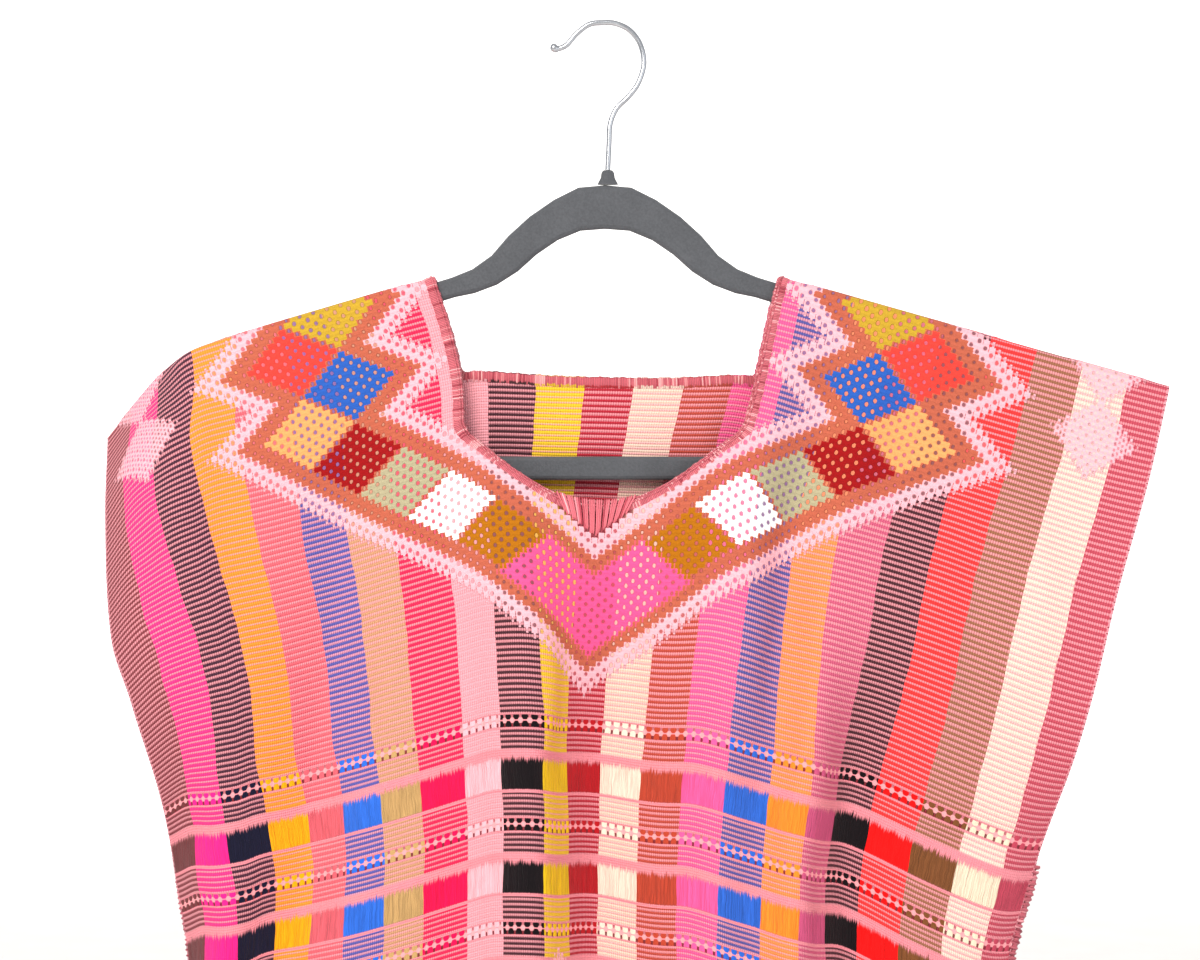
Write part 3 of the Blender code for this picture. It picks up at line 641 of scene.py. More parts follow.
def layFloats(cloth):
    # bands of long floats with ragged tops, on a plain pink band whose threads run down into them; both are
    # painted lighter on their threads' ridges and darker between them
    low = cloth.v.step(*floats["starts"])
    below = belowRow(cloth, floats["first"])
    band = ((cloth.v - floats["first"]) / floats["gap"] + 0.5).floor()
    ragged = cloth.noise(cloth.point(cloth.u * 1.15 + cloth.v * 0.02, band * 7.0), 3.0)
    tuft = cloth.noise(cloth.point(cloth.u * 0.22, band * 7.0 + 3.0), 1.0)
    top = ragged * floats["ragged"] + tuft * floats["tufts"] + floats["top"]
    inside = (below - top).step(*floats["topEdge"]) * (below + ragged * 1.6).step(*floats["bottomEdge"]) * low
    thick = below.step(*floats["bandTop"]) * below.step(*floats["bandBottom"]) * low
    waver = cloth.noise(cloth.point(cloth.u * 0.12, cloth.v * 0.16), 1.0)
    threadRidges = cloth.noise(cloth.point(cloth.u * 1.45 + waver * 2.6, cloth.v * 0.03 + band), 2.0)
    # threadRidges: painted light on each thread and painted shade between threads, the same noise as the
    # bump; the pink band also takes painted light on the thread crowns
    cloth.cover(thick, cloth.shade(cloth.pink, 0.99 + cloth.threadCrowns * 0.05 + threadRidges * 0.22))
    cloth.cover(inside, cloth.shade(cloth.pure, 1.02 + threadRidges))
    cloth.height = cloth.height * (1.0 - inside) + thick * 0.12 + inside * (0.32 + threadRidges * 1.5)
    cloth.rough = cloth.rough - inside * 0.24


# v of the first row, width of a bundle with its gap, then how far from the row's middle each thing ends; slit
# is the dark red painted as shade in the slits
openwork = {"first": 239, "bundle": 4.7, "row": (3.7, 3.2), "rim": (4.6, 4.1), "bundleEdge": (0.2, 0.65),
            "tie": (0.15, 0.5), "lensEdge": (1.75, 1.25), "slitEdge": (0.8, 0.35), "slitStart": (1.3, 1.9),
            "lens": "#F6A2A6", "slit": "#7A1422"}


def openRows(cloth):
    # bundles of warp tied in the middle, with a pink lens and two slits between them, painted dark red as
    # shade in the openings
    below = belowRow(cloth, openwork["first"])
    far = below.most(below * -1.2)
    gap = cloth.u.tent(openwork["bundle"]) * (openwork["bundle"] / 2)
    low = cloth.v.step(ribs["change"] - 3, ribs["change"] - 2)
    row = low * (far + cloth.fibre * 0.5).step(*openwork["row"])
    rim = low * far.step(*openwork["rim"])
    bundles = row * (gap + below * 0.1 + cloth.fibre * 0.6).step(*openwork["bundleEdge"])
    bundles = bundles * far.step(*openwork["tie"])
    lens = row * (far * 0.6 + gap * 0.9 + cloth.fibre * 0.6).step(*openwork["lensEdge"])
    slit = row * (gap + cloth.fibre * 0.5).step(*openwork["slitEdge"]) * far.step(*openwork["slitStart"])
    slit = slit * (below.step(-0.5, 0.5) * 0.4 + 0.5)
    # the rim takes painted light on the thread crowns and painted shade between them
    cloth.cover(rim, cloth.shade(cloth.pink, 0.98 + cloth.threadCrowns * 0.05))
    cloth.cover(bundles, cloth.shade(cloth.pure, 1.0 + cloth.fibre * 0.3))
    cloth.cover(lens * 0.9, cloth.shade(tone(openwork["lens"]), 1.0 + cloth.fibre * 0.2))
    # painted shade in the slits, darker below the row's middle than above it
    cloth.cover(slit, tone(openwork["slit"]))
    cloth.height = cloth.height * (1.0 - row) + row * (gap * 0.14) + lens * 0.2 - slit * 0.9


# the brocade is a chain of rhombi on a lattice of picks, from each shoulder to the point of the neck;
# inner, merged, band and outer are distances from a rhombus's centre, with 1 on its edge
rhombus = {"wide": 26.2, "tall": 19.5, "drop": 6.3, "picks": 7, "inner": 0.93, "merged": 1.08, "band": 1.5,
           "outer": 2.1, "terracotta": "#BC6048", "pale": "#F6B4BE"}
# cell name, centre in half widths across and half heights down, colour
frontCells = (
    ("mustard",      5, 0, "#C29C2E"),
    ("red",          6, 1, "#FF4238"),
    ("blue",         5, 2, "#2C5CB4"),
    ("light orange", 6, 3, "#F2A262"),
    ("dark red",     5, 4, "#9A0F12"),
    ("sage",         4, 5, "#AFA684"),
    ("white",        3, 6, "#FFFFFF"),
    ("ochre",        2, 7, "#B06A0A"),
    ("pink",         1, 8, "#FF5690"),
    ("pink point",   0, 9, "#FF5690"),
)
# small rhombi of pale brocade: centre u, centre v, half width, half height
sleeveMotifs = ((247, 0, 21.5, 19.5), (247, 37.5, 21.5, 19.5))
tipMotif = (-22, 374, 21.5, 19.5)
pickU = rhombus["wide"] / rhombus["picks"]
pickV = rhombus["tall"] / rhombus["picks"]


def reachOf(u, v, centre, size):
    # how far a place is from a rhombus's centre, 1 on its edge: |du| / half width + |dv| / half height
    return (u - centre[0]).size() / size[0] + (v - centre[1]).size() / size[1]


def cellChain(cloth, cells, u, v, prong):
    # distance from the nearest cell, and the colours of the cells on terracotta
    nearest = None
    inlay = tone(rhombus["terracotta"])
    size = (rhombus["wide"], rhombus["tall"])
    for label, a, b, code in cells:
        reach = reachOf(u, v, (a * size[0], b * size[1]), size)
        nearest = reach if nearest is None else nearest.least(reach)
        inner = rhombus["merged"] if label.startswith("pink") else rhombus["inner"]
        inlay = cloth.blend((reach + prong * 0.12).step(inner + 0.04, inner - 0.02), inlay, tone(code))
    return nearest, inlay


def paleRhombi(cloth, drop, mirrored, v, prong, motifs, tips):
    # where the small rhombi are, and their dashes, each row half a dash along
    pale = None
    for cu, cv, wide, tall in motifs:
        reach = reachOf(mirrored, v, (cu, cv), (wide, tall))
        pale = reach if pale is None else pale.least(reach)
    for cu, cv, wide, tall in tips:
        pale = pale.least(reachOf(cloth.u.snap(pickU), v, (cu, cv), (wide, tall)))
    row = ((cloth.v - drop) * 2 / pickV).floor()
    dash = (cloth.u + row * (pickU / 2) + cloth.fibre).tent(pickU).step(0.2, 0.42)
    between = cloth.blend(0.8, tone(rhombus["pale"]), cloth.blend(0.5, cloth.pink, cloth.yarn))
    return (pale + prong * 0.14).step(1.05, 1.0), cloth.blend(dash, between, tone(rhombus["pale"]))


# a dot of ground, in picks: its half width squared, its half height and what a whole share adds to it
dot = {"wideSquared": 0.062, "tall": 0.08, "tallShare": 0.52, "uneven": 1.3}


def staggeredDots(cloth, drop, quiet):
    # below about 1 inside the dots of ground: the sum of squares over the dots' sizes, on two lattices
    dotU = (cloth.u / pickU).wrap(-1.0, 1.0).size()
    dotV = ((cloth.v - drop) / pickV).wrap(-1.0, 1.0).size()
    wide = dot["wideSquared"]
    tall = cloth.share * dot["tallShare"] + dot["tall"]
    even = dotU * dotU / wide + dotV * dotV / (tall * tall)
    oddU = 1.0 - dotU
    oddV = 1.0 - dotV
    odd = oddU * oddU / wide + oddV * oddV / (tall * tall)
    return even.least(odd) + cloth.fibre * dot["uneven"] + quiet


def workBrocade(cloth, cells, drop, motifs, tips):
    # stepped rhombi with pointed picks, the ground showing through in staggered dots
    mirrored = (cloth.u + cloth.fibre * 1.6).snap(pickU).size()
    v = (cloth.v + cloth.fibre * 1.2 - drop).snap(pickV)
    prong = (cloth.u + pickU / 2).tent(pickU) * -1 + 0.5
    nearest, inlay = cellChain(cloth, cells, mirrored, v, prong)
    edge = nearest + prong * 0.13
    band, outer = rhombus["band"], rhombus["outer"]
    inlay = cloth.blend(edge.step(band - 0.02, band + 0.04), inlay, tone(rhombus["pale"]))
    worked = (nearest + prong * 0.26).step(outer + 0.03, outer - 0.03)
    inPale, dashes = paleRhombi(cloth, drop, mirrored, v + drop, prong, motifs, tips)
    inlay = cloth.blend(inPale, inlay, dashes)
    worked = worked.most(inPale)

    # smaller dots on the terracotta and hardly any on the outermost picks
    quiet = edge.step(0.95, 1.0) * edge.step(1.54, 1.5) * 0.5 + nearest.step(1.9, 1.95)
    dots = staggeredDots(cloth, drop, quiet)
    # dotRim: the laid thread dips round each dot and is painted darker there, as shade
    dotRim = dots.step(1.7, 1.0)
    pick = (cloth.v * (2 * np.pi / pickV)).cosine()
    thatch = cloth.noise(cloth.point(cloth.u * 0.9 + cloth.v * 0.5, cloth.v * 2.6), 2.0)
    # the ground in the dots takes painted light on the thread crowns; the laid threads get a painted sheen
    # from thatch, painted shading from each pick's swell and painted shade round the dots
    ground = cloth.shade(cloth.blend(0.7, cloth.pink, cloth.yarn), 0.84 + cloth.threadCrowns * 0.06)
    laid = cloth.shade(inlay, 1.03 + thatch * 0.5 + pick * 0.05 - dotRim * 0.2)
    cloth.cover(worked, cloth.blend(dots.step(1.15, 0.75) * 0.9, laid, ground))
    raised = 0.45 + thatch * 0.35 + pick * 0.06 - dotRim * 0.5
    cloth.height = cloth.height * (1.0 - worked * 0.8) + worked * raised
    cloth.rough = cloth.rough - worked * 0.06
    return nearest


trim = {"edge": (halfWeb - 1.3, halfWeb - 0.9), "nick": 3.1, "hem": 592, "hemStitch": 4.2, "shadow": 0.85,
        "shadowSide": (22, 20), "shadowTop": (110, 112), "shadowEnd": (146, 144)}


def shadeUnderFan(cloth, nearest):
    # the shadow under the fan of stitches, where the chain of rhombi has its point
    aside = cloth.u.size().step(*trim["shadowSide"])
    down = cloth.v.step(*trim["shadowTop"]) * cloth.v.step(*trim["shadowEnd"])
    cloth.cover(nearest.step(2.08, 2.14) * aside * down * trim["shadow"], tone(openwork["slit"]))


def finishEdges(cloth):
    # the selvedges' outermost thread is paler, with dark nicks, and the hem has a row of running stitches
    outermost = cloth.u.size().step(*trim["edge"])
    nicks = (cloth.v + cloth.slow * 9.0).tent(trim["nick"]).step(0.3, 0.15) * outermost
    cloth.cover(outermost * 0.6, tone(rhombus["pale"]))
    cloth.cover(nicks * 0.8, tone(openwork["slit"]))
    stitch = (cloth.v - trim["hem"]).size().step(0.8, 0.4) * cloth.u.tent(trim["hemStitch"]).step(0.25, 0.35)
    cloth.cover(stitch, tone(openwork["lens"]))
    cloth.height = cloth.height + stitch * 0.4


def clothMaterial(name, cells, drop, motifs, tips=(), pulls=()):
    cloth = ClothDye(name, pulls)
    weaveRibs(cloth)
    layFloats(cloth)
    openRows(cloth)
    nearest = workBrocade(cloth, cells, drop, motifs, tips)
    # only a chain that runs to the middle has the fan above its point
    if cells[-1][1] == 0:
        shadeUnderFan(cloth, nearest)
    finishEdges(cloth)
    settings = {"Sheen Weight": 0.06, "Sheen Roughness": 0.5, "Specular IOR Level": 0.12}
    return cloth.finish(cloth.colour, cloth.rough, cloth.height, settings)


# counts of columns, of rows beside the neck and of rows below it, for each panel
shell = {"front": (150, 36, 286), "back": (120, 36, 230), "brocade": 0.5, "brocadeEase": 0.2, "neckFade": 110,
         "firstRows": (0, 0.8, 1.6, 2.4, 3.2, 4.2, 5.4, 6.8), "nextRow": 8.4}


def brocadeLift(u, v, cells, drop, motifs):
    # the worked band stands up, easing down to the plain cloth past its pale outline
    lift = np.zeros(np.shape(u))
    for _, a, b, _ in cells:
        reach = np.abs(np.abs(u) / rhombus["wide"] - a) + np.abs((v - drop) / rhombus["tall"] - b)
        lift = np.maximum(lift, np.clip((rhombus["outer"] - reach) / shell["brocadeEase"], 0, 1))
    for cu, cv, wide, tall in motifs:
        reach = np.abs(np.abs(u) - cu) / wide + np.abs(v - cv) / tall
        lift = np.maximum(lift, np.clip((1.05 - reach) / shell["brocadeEase"], 0, 1))
    return lift * shell["brocade"]


def clothShell(name, panel, neckEdge, counts, cells, drop, motifs, material):
    # both skins of the web: rows of v from the shoulder fold, bent to the neck edge inside its columns
    columnCount, armCount, lowerCount = counts
    tuck = web["tuck"]
    cut = web["neckHalf"] + tuck
    base = float(neckEdge(cut, tuck))
    columns = np.linspace(-halfWeb, halfWeb, columnCount + 1)
    for side in (-cut, cut):
        columns[np.argmin(np.abs(columns - side))] = side
    nextRows = np.linspace(shell["nextRow"], base, armCount - len(shell["firstRows"]))
    arm = np.concatenate([shell["firstRows"], nextRows[:-1]])
    lower = np.linspace(base, web["length"], lowerCount)
    # rows below the neck follow its edge and straighten out further down
    drops = np.where(np.abs(columns) > cut - 0.1, 0, np.maximum(neckEdge(columns, tuck) - base, 0))
    fade = np.clip(1 - (lower - base) / shell["neckFade"], 0, 1)
    fade = fade ** 2 * (3 - 2 * fade) * 0.35 + fade * 0.65
    beside = np.repeat(arm[:, None], len(columns), axis=1)
    v = np.concatenate([beside, lower[:, None] + drops * fade[:, None]])
    u = np.broadcast_to(columns, v.shape)
    corners = gridFaces(*v.shape)
    centres = (u.ravel()[corners[:, 0]] + u.ravel()[corners[:, 1]]) / 2
    inNeck = (corners[:, 0] < len(arm) * len(columns)) & (np.abs(centres) < cut)
    corners = corners[~inNeck]
    kept, faces = np.unique(corners, return_inverse=True)
    faces = faces.reshape(-1, 4)
    u, v = u.ravel()[kept], v.ravel()[kept]
    if panel.side < 0:
        faces = faces[:, ::-1]
    half = web["wall"] / 2
    outer = panel.at(u, v, half + brocadeLift(u, v, cells, drop, motifs))
    inner = panel.at(u, v, -half)
    count = len(u)
    # an edge that belongs to one face only is on the rim, where a wall joins the two skins
    edges = np.concatenate([faces[:, [k, (k + 1) % 4]] for k in range(4)])
    ends = np.sort(edges, axis=1)
    found, times = np.unique(ends[:, 0] * count + ends[:, 1], return_index=True, return_counts=True)[1:]
    rim = edges[found[times == 1]]
    walls = np.stack([rim[:, 1], rim[:, 0], rim[:, 0] + count, rim[:, 1] + count], axis=1)
    quads = np.concatenate([faces, faces[:, ::-1] + count, walls])
    spot = np.stack([u + halfWeb, v], axis=1) * mm
    maps = {"web": np.concatenate([spot, spot])}
    item = makePiece(name, np.concatenate([outer, inner]), quads, material, maps)
    hole = np.mean(neckEdge(np.linspace(-cut, cut, 400), tuck)) * 2 * cut
    return item, float((2 * halfWeb * web["length"] - hole) * mm * mm)


front = Panel(frontFolds, -1, frontCreases)
back = Panel(backFolds, 1, backCreases, joined=front)
backCells = frontCells[:4]
frontDrop = rhombus["drop"]
frontCloth = clothMaterial("frontCloth", frontCells, frontDrop, sleeveMotifs, (tipMotif,), leftPulls)
backCloth = clothMaterial("backCloth", backCells, -frontDrop, sleeveMotifs)
clothFront, frontArea = clothShell("cloth_front", front, frontNeck, shell["front"],
                                   frontCells, frontDrop, sleeveMotifs, frontCloth)
place(clothFront, "front_panel", "front_panel")
clothBack, backArea = clothShell("cloth_back", back, backNeck, shell["back"],
                                 backCells, -frontDrop, sleeveMotifs, backCloth)
place(clothBack, "back_panel", "back_panel")
print("cloth hung")


def threadMaterial(name, colour, light, dark, pitch, lean, warpShare=0.0):
    # overcast thread: the stitch map holds the run along the edge in metres and the way round it
    dye = Dye(name)
    run, around = dye.mapped("stitch")
    s = run * (1000 / pitch) + around * lean
    own = dye.chance(dye.point(s.floor(), 3.0))
    patch = dye.noise(dye.point(run * 60, 5.0), 1.0)
    fine = dye.noise(dye.point(run * 1800, around * 9), 2.0)
    # ridge is 1 at the edges between stitches, where the thread dips, and 0 in their middles
    ridge = 1.0 - s.tent(1.0)
    tint = dye.blend((own + patch).step(0.74, 0.98), tone(colour), tone(light))
    tint = dye.blend((own * 7.3 + 0.1).fract().step(0.86, 0.97), tint, tone(dark))
    if warpShare:
        # the lower half shows the cut warp's colours
        warp = stripeColour(dye, stripeNumber(dye.mapped("web")[0] * 1000 - halfWeb), 2)
        lower = ((around + own * 0.06) * (2 * np.pi)).cosine().step(-0.1, -0.4)
        tint = dye.blend((own * 3.7).fract().step(0.1, 0.3) * lower * warpShare, tint, warp)
    # darker where ridge is high: painted shade in the grooves between stitches; own and fine vary the tone at
    # random
    tint = dye.shade(tint, 1.05 - ridge * ridge * 0.36 + (own - 0.5) * 0.2 + fine * 0.25)
    height = (1.0 - ridge * ridge) * 0.35 + fine * 0.12
    return dye.finish(tint, 0.6 + fine * 0.2, height, {"Sheen Weight": 0.15, "Specular IOR Level": 0.4})


edging = {
    "stitch": 0.85, "slant": 0.6, "warpShare": 0.9, "wide": 3.4, "thick": 1.5, "spacing": 0.25,
    "pulse": 0.6, "pulseWide": 0.1, "pulseThick": 0.16,
    "cord": 0.55, "cordInset": 0.7, "cordLanes": (0.6, 2.4), "cordLifts": (0.85, 1.5),
}
lay = (edging["stitch"], edging["slant"])
coralThread = threadMaterial("coralThread", "#DA6C78", "#F8AEB2", "#B03C4C", *lay)
warpThread = threadMaterial("warpThread", "#CC5A66", "#F0A0A0", "#A83444", *lay, edging["warpShare"])


# knots of the neck's line: at the top of a side, where the rest start, and how far they stop short of
# the corner, upwards and inwards
neckKnot = {"top": (0, 1.5, 3.2, 5, 7), "below": 12, "up": 5, "in": 3.5}


def neckRoute(neckEdge, inset):
    # down one side of half the neck, along its bottom and up the other side
    half = web["neckHalf"] + inset
    corner = float(neckEdge(half, inset))
    sideDown = np.concatenate([neckKnot["top"], np.linspace(neckKnot["below"], corner - neckKnot["up"], 6)])
    bottom = np.linspace(-half + neckKnot["in"], half - neckKnot["in"], 27)
    u = np.concatenate([np.full(len(sideDown), -half), bottom, np.full(len(sideDown), half)])
    v = np.concatenate([sideDown, neckEdge(bottom, inset), sideDown[::-1]])
    return evenly(u, v, edging["spacing"])


def makeBinding(name, panel, neckEdge, material, node):
    # an oval section round half the neck whose width and thickness pulse once a stitch
    u, v, stations = neckRoute(neckEdge, web["binding"] / 2)
    pulse = np.abs(np.sin(np.pi * stations / edging["stitch"])) ** edging["pulse"]
    uneven = 1 + 0.05 * np.sin(stations * 0.61) + 0.04 * np.sin(stations * 1.7 + 1)
    wide = edging["wide"] * uneven * (1 - edging["pulseWide"] + edging["pulseWide"] * pulse) * mm
    thick = edging["thick"] * (1 - edging["pulseThick"] + edging["pulseThick"] * pulse) * mm
    spot = np.stack([u + halfWeb, v], axis=1) * mm
    item = sweep(name, panel.at(u, v)[None], panel.normalAt(u, v)[None], wide, thick, 10,
                 material, stations * mm, spot)
    return place(item, node, node)


def makeNeckCord(name, panel, neckEdge, slot):
    # two thin twisted cords laid side by side on the edge of the neck
    routes = [neckRoute(neckEdge, edging["cordInset"] * lane) for lane in edging["cordLanes"]]
    share = np.linspace(0, 1, min(len(route[0]) for route in routes))
    u, v, stations = (np.stack([np.interp(share, np.linspace(0, 1, len(part)), part) for part in parts])
                      for parts in zip(*routes))
    lift = np.array(edging["cordLifts"])[:, None] + 0.12 * np.sin(stations * 0.9)
    radius = edging["cord"] * (1 + 0.1 * np.sin(stations * 5.2)) * mm
    item = sweep(name, panel.at(u, v, lift), panel.normalAt(u, v), radius, radius, 6,
                 coralThread, stations * mm)
    return place(item, slot)


edgingFront = makeBinding("neck_stitching_front", front, frontNeck, coralThread, "neck_edging_front")
edgingBack = makeBinding("neck_stitching_back", back, backNeck, warpThread, "neck_edging_back")
cordFront = makeNeckCord("neck_cord_front", front, frontNeck, "neck_edging_front")

fan = {"strands": 32, "half": 21, "gather": 0.22, "radius": 0.47, "flat": 0.75, "edgeLift": 2.0,
       "clothLift": 1.3, "over": 0.9, "bulge": 0.5, "dip": 1.3, "dipFrom": 0.9, "unevenTop": 0.25,
       "unevenFoot": 0.9, "turnPoints": 6, "points": 18}


def makeFan():
    # each stitch turns over the neck's edge, runs down to the brocade's point and dips into the cloth
    start = np.linspace(-fan["half"], fan["half"], fan["strands"])[:, None]
    start = start + fan["unevenTop"] * np.sin(start * 3.1)
    edge = frontNeck(start)
    point = rhombus["drop"] + (len(frontCells) - 1 - rhombus["outer"]) * rhombus["tall"]
    foot = point - np.abs(start) * (1 - fan["gather"]) * rhombus["tall"] / rhombus["wide"]
    foot = foot + fan["unevenFoot"] * np.sin(start * 7.7)
    turn = np.linspace(-np.pi / 2, np.pi / 2, fan["turnPoints"] + 1)[None, :-1]
    t = np.linspace(0, 1, fan["points"])[None, :]
    lift = fan["edgeLift"] + (fan["clothLift"] - fan["edgeLift"]) * t + fan["bulge"] * np.sin(np.pi * t)
    lift = lift - fan["dip"] * ease(t, fan["dipFrom"], 1)
    u = np.concatenate([start + 0 * turn, start * (1 - fan["gather"] * t)], axis=1)
    v = np.concatenate([edge - fan["over"] * np.cos(turn), edge + (foot - edge) * t], axis=1)
    out = np.concatenate([edge * 0 + fan["edgeLift"] / 2 * (1 + np.sin(turn)), lift + 0 * start], axis=1)
    strandRun = np.arange(fan["strands"])[:, None] * edging["stitch"] * mm + 0.4 * mm
    radius = fan["radius"] * mm
    item = sweep("neck_fan_stitches", front.at(u, v, out), front.normalAt(u, v),
                 radius, radius * fan["flat"], 6, coralThread, strandRun)
    return place(item, "neck_fan", "neck_fan")


makeFan()
print("neck edged")

# each side: outer reach of the stitches, radius of the rope and of the thread
seam = {"left": (1.1, 0.7, 0.6), "right": (3.6, 1.6, 0.95), "inside": -1.6, "deep": 2.1, "stitch": 2.8,
        "lump": 13, "taper": 8, "step": 0.16, "pitch": 1.3}
roseThread = threadMaterial("roseThread", "#C66270", "#EAA0A6", "#9A3646", seam["pitch"], 1.0)


def makeSeam(name, side, sizes, node):
    # a lumpy rope beside the two selvedges, and a helix of overcast stitches round both
    outside, radius, thread = sizes
    v = np.arange(web["armhole"], web["length"] - 2, seam["step"])
    selvedge = (front.at(side * halfWeb, v) + back.at(side * halfWeb, v)) / 2
    aside = np.array([side * mm, 0.0, 0.0])
    deep = np.array([0.0, mm, 0.0])
    grow = ease(v, web["armhole"], web["armhole"] + seam["taper"])
    lumps = 1 + 0.2 * np.sin(v * 2 * np.pi / seam["lump"]) + 0.14 * np.sin(v * 0.71) + 0.08 * np.sin(v * 0.33)
    middle = (seam["inside"] + outside) / 2
    half = (outside - seam["inside"]) / 2
    turn = v * 2 * np.pi / seam["stitch"] + 0.5 * np.sin(v * 0.4)
    uneven = (1 + 0.1 * np.sin(v * 2 * np.pi / seam["lump"]) + 0.06 * np.sin(v * 0.31)) * (0.5 + 0.5 * grow)
    rope = selvedge + aside * (outside - radius) * grow[:, None]
    loops = selvedge + aside * (middle + half * uneven * np.cos(turn))[:, None]
    loops = loops + deep * (seam["deep"] * np.sin(turn))[:, None]
    rope, ropeRun = rope[::5], v[::5]
    ropeRadius = (radius * lumps * (0.4 + 0.6 * grow) * mm)[::5]
    forward = np.tile([0.0, -1.0, 0.0], (1, len(rope), 1))
    first = sweep(name, rope[None], forward, ropeRadius, ropeRadius, 8, roseThread, ropeRun * mm)
    place(first, node, node)
    centre = selvedge + aside * middle
    thread = thread * (1 + 0.18 * np.sin(v * 1.9)) * mm
    second = sweep(name + "_loops", loops[None], (loops - centre)[None], thread, thread, 5,
                   roseThread, v * mm * seam["pitch"] / seam["stitch"])
    place(second, node)


makeSeam("seam_left", -1, seam["left"], "side_seam_left")
makeSeam("seam_right", 1, seam["right"], "side_seam_right")
print("sides joined")

# the hook's route, x and z from the hanging point; lastSpan is about the length of its last span
hook = {
    "wire": 1.5, "points": 220, "sides": 16,
    "lastSpan": 3.6, "beadSwell": 0.5, "beadRound": 2.2, "beadNeck": (4.6, 3.0),
    "route": (
        (1.5, -76.2), (2.2, -62), (2.8, -52), (6.2, -43.8), (12.4, -37.6), (17.6, -30.4),
        (20.6, -20), (18.6, -9.8), (13.0, -2.4), (5.6, 1.1), (-1.0, 1.5), (-8.2, 0.6),
        (-15.0, -4.4), (-20.4, -10.4), (-25.4, -12.2), (-28.6, -10.4),
    ),
}


def velvetMaterial():
    dye = Dye("velvet")
    spot = dye.node("ShaderNodeTexCoord", {}, {}, 3)
    nap = dye.noise(spot, 3.0, 900.0)
    brush = dye.noise(spot, 2.0, 60.0)
    colour = dye.blend(nap * 1.2 + 0.5, tone("#4C4E51"), tone("#5F6165"))
    colour = dye.shade(colour, 1.0 + brush * 0.25)
    settings = {"Sheen Weight": 0.5, "Sheen Roughness": 0.35, "Specular IOR Level": 0.15}
    return dye.finish(colour, 0.93 + nap * 0.05, nap * 0.2 + brush * 0.1, settings)


def chromeMaterial():
    dye = Dye("wire")
    smear = dye.noise(dye.node("ShaderNodeTexCoord", {}, {}, 3), 2.0, 220.0)
    colour = dye.blend(smear + 0.5, tone("#A9ACB1"), tone("#C8CBCF"))
    return dye.finish(colour, 0.22 + smear * 0.14, smear * 0.02, {"Metallic": 1.0})


def makeHook(material):
    # a spline through the route; the wire swells to a rounded bead at its free end
    route = np.array(hook["route"])
    along = np.linspace(0, len(route) - 1, hook["points"])
    i = np.clip(along.astype(int), 0, len(route) - 2)
    t = (along - i)[:, None]
    slope = np.gradient(route, axis=0)
    flat = (1 + 2 * t) * (1 - t) ** 2 * route[i] + t * (1 - t) ** 2 * slope[i]
    flat = flat + t * t * (3 - 2 * t) * route[i + 1] + t * t * (t - 1) * slope[i + 1]
    path = np.stack([flat[:, 0], 0 * along, flat[:, 1]], axis=1) * mm
    left = (len(route) - 1 - along) * hook["lastSpan"]
    bead = 1 + hook["beadSwell"] * ease(left, *hook["beadNeck"])
    rounded = np.sqrt(np.clip(1 - (1 - np.minimum(left / hook["beadRound"], 1)) ** 2, 0.03, 1))
    radius = hook["wire"] * bead * rounded * mm
    out = np.tile([0.0, -1.0, 0.0], (1, len(path), 1))
    item = sweep("hook_wire", path[None], out, radius, radius, hook["sides"], material, along * mm)
    return place(item, "hanger_hook", "hanger_hook")


velvet = velvetMaterial()
makeHook(chromeMaterial())
for node in ("hanger_body", "hanger_collar"):
    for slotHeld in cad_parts[node].material_slots:
        slotHeld.material = velvet

flatWeb = (2 * halfWeb * mm, web["length"] * mm)

room = {"floorDrop": 0.95, "wallBack": 3.2, "wall": "#FCFBFA", "glow": 1.0, "sky": "#F9F9FB",
        "skyPower": 0.66, "windowPower": 50, "fillPower": 9}


def stagePlane(name, corners, material):
    mesh = bpy.data.meshes.new(name)
    mesh.from_pydata(corners, [], [(0, 1, 2, 3)])
    item = bpy.data.objects.new(name, mesh)
    bpy.context.collection.objects.link(item)
    mesh.materials.append(material)


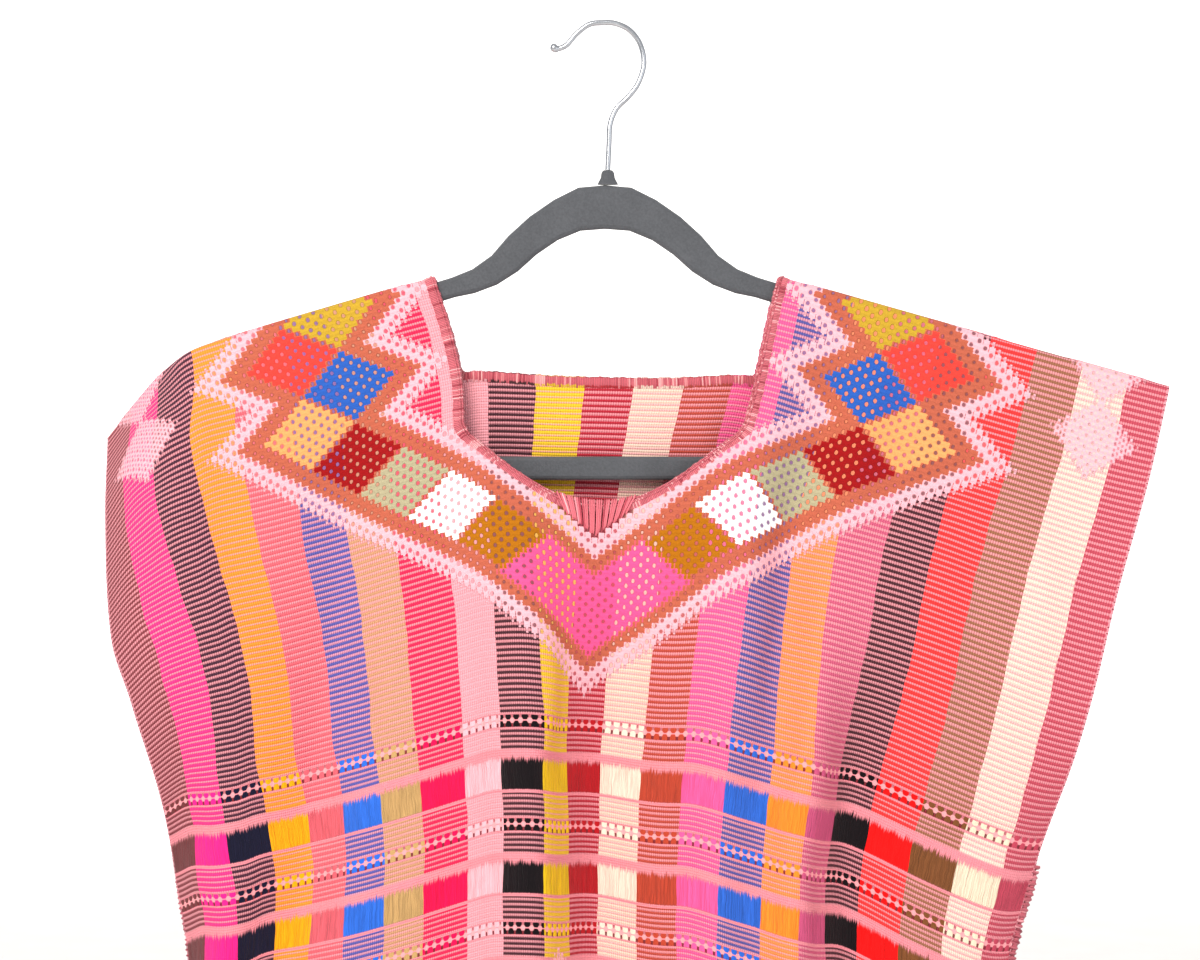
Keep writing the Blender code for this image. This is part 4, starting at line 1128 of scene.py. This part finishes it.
def floorMaterial():
    dye = Dye("floorPaint")
    speck = dye.noise(dye.node("ShaderNodeTexCoord", {}, {}, 3), 3.0, 14.0)
    colour = dye.blend(speck + 0.5, tone("#F0EDEA"), tone("#F6F4F2"))
    return dye.finish(colour, 0.9 + speck * 0.1, speck, {"Specular IOR Level": 0.2}, 0.2 * mm)


def wallMaterial():
    dye = Dye("wallGlow")
    dye.shader.inputs["Base Color"].default_value = tone("#F4F2F0")
    dye.shader.inputs["Emission Color"].default_value = tone(room["wall"])
    dye.shader.inputs["Emission Strength"].default_value = room["glow"]
    return dye.material


lowest = -room["floorDrop"]
rear = room["wallBack"]
stagePlane("floor", [(-6, -6, lowest), (6, -6, lowest), (6, 6, lowest), (-6, 6, lowest)], floorMaterial())
stagePlane("backdrop", [(-5, rear, -3), (5, rear, -3), (5, rear, 3), (-5, rear, 3)], wallMaterial())

world = bpy.data.worlds.new("studio")
bpy.context.scene.world = world
world.use_nodes = True
world.node_tree.nodes["Background"].inputs["Color"].default_value = tone(room["sky"])
world.node_tree.nodes["Background"].inputs["Strength"].default_value = room["skyPower"]


def softLamp(name, spot, aim, size, power, colour):
    lamp = bpy.data.lights.new(name, "AREA")
    lamp.shape = "SQUARE"
    lamp.size = size
    lamp.energy = power
    lamp.color = tone(colour)[:3]
    item = bpy.data.objects.new(name, lamp)
    item.location = spot
    item.rotation_euler = (Vector(aim) - Vector(spot)).to_track_quat("-Z", "Y").to_euler()
    bpy.context.collection.objects.link(item)


softLamp("window", (-0.8, -1.9, 0.9), (0, 0, -0.35), 1.1, room["windowPower"], "#FFFBF6")
softLamp("fill", (1.6, -1.9, 0.0), (0, 0, -0.4), 1.6, room["fillPower"], "#F6F8FF")

view = {"lens": 71, "film": 36, "place": (-0.0026, -1.25, -0.240)}
cameraData = bpy.data.cameras.new("camera")
cameraData.lens = view["lens"]
cameraData.sensor_width = view["film"]
camera = bpy.data.objects.new("camera", cameraData)
camera.location = view["place"]
camera.rotation_euler = (np.pi / 2, 0, 0)
bpy.context.collection.objects.link(camera)
bpy.context.scene.camera = camera
bpy.context.scene.view_settings.view_transform = "Standard"
print("lit")
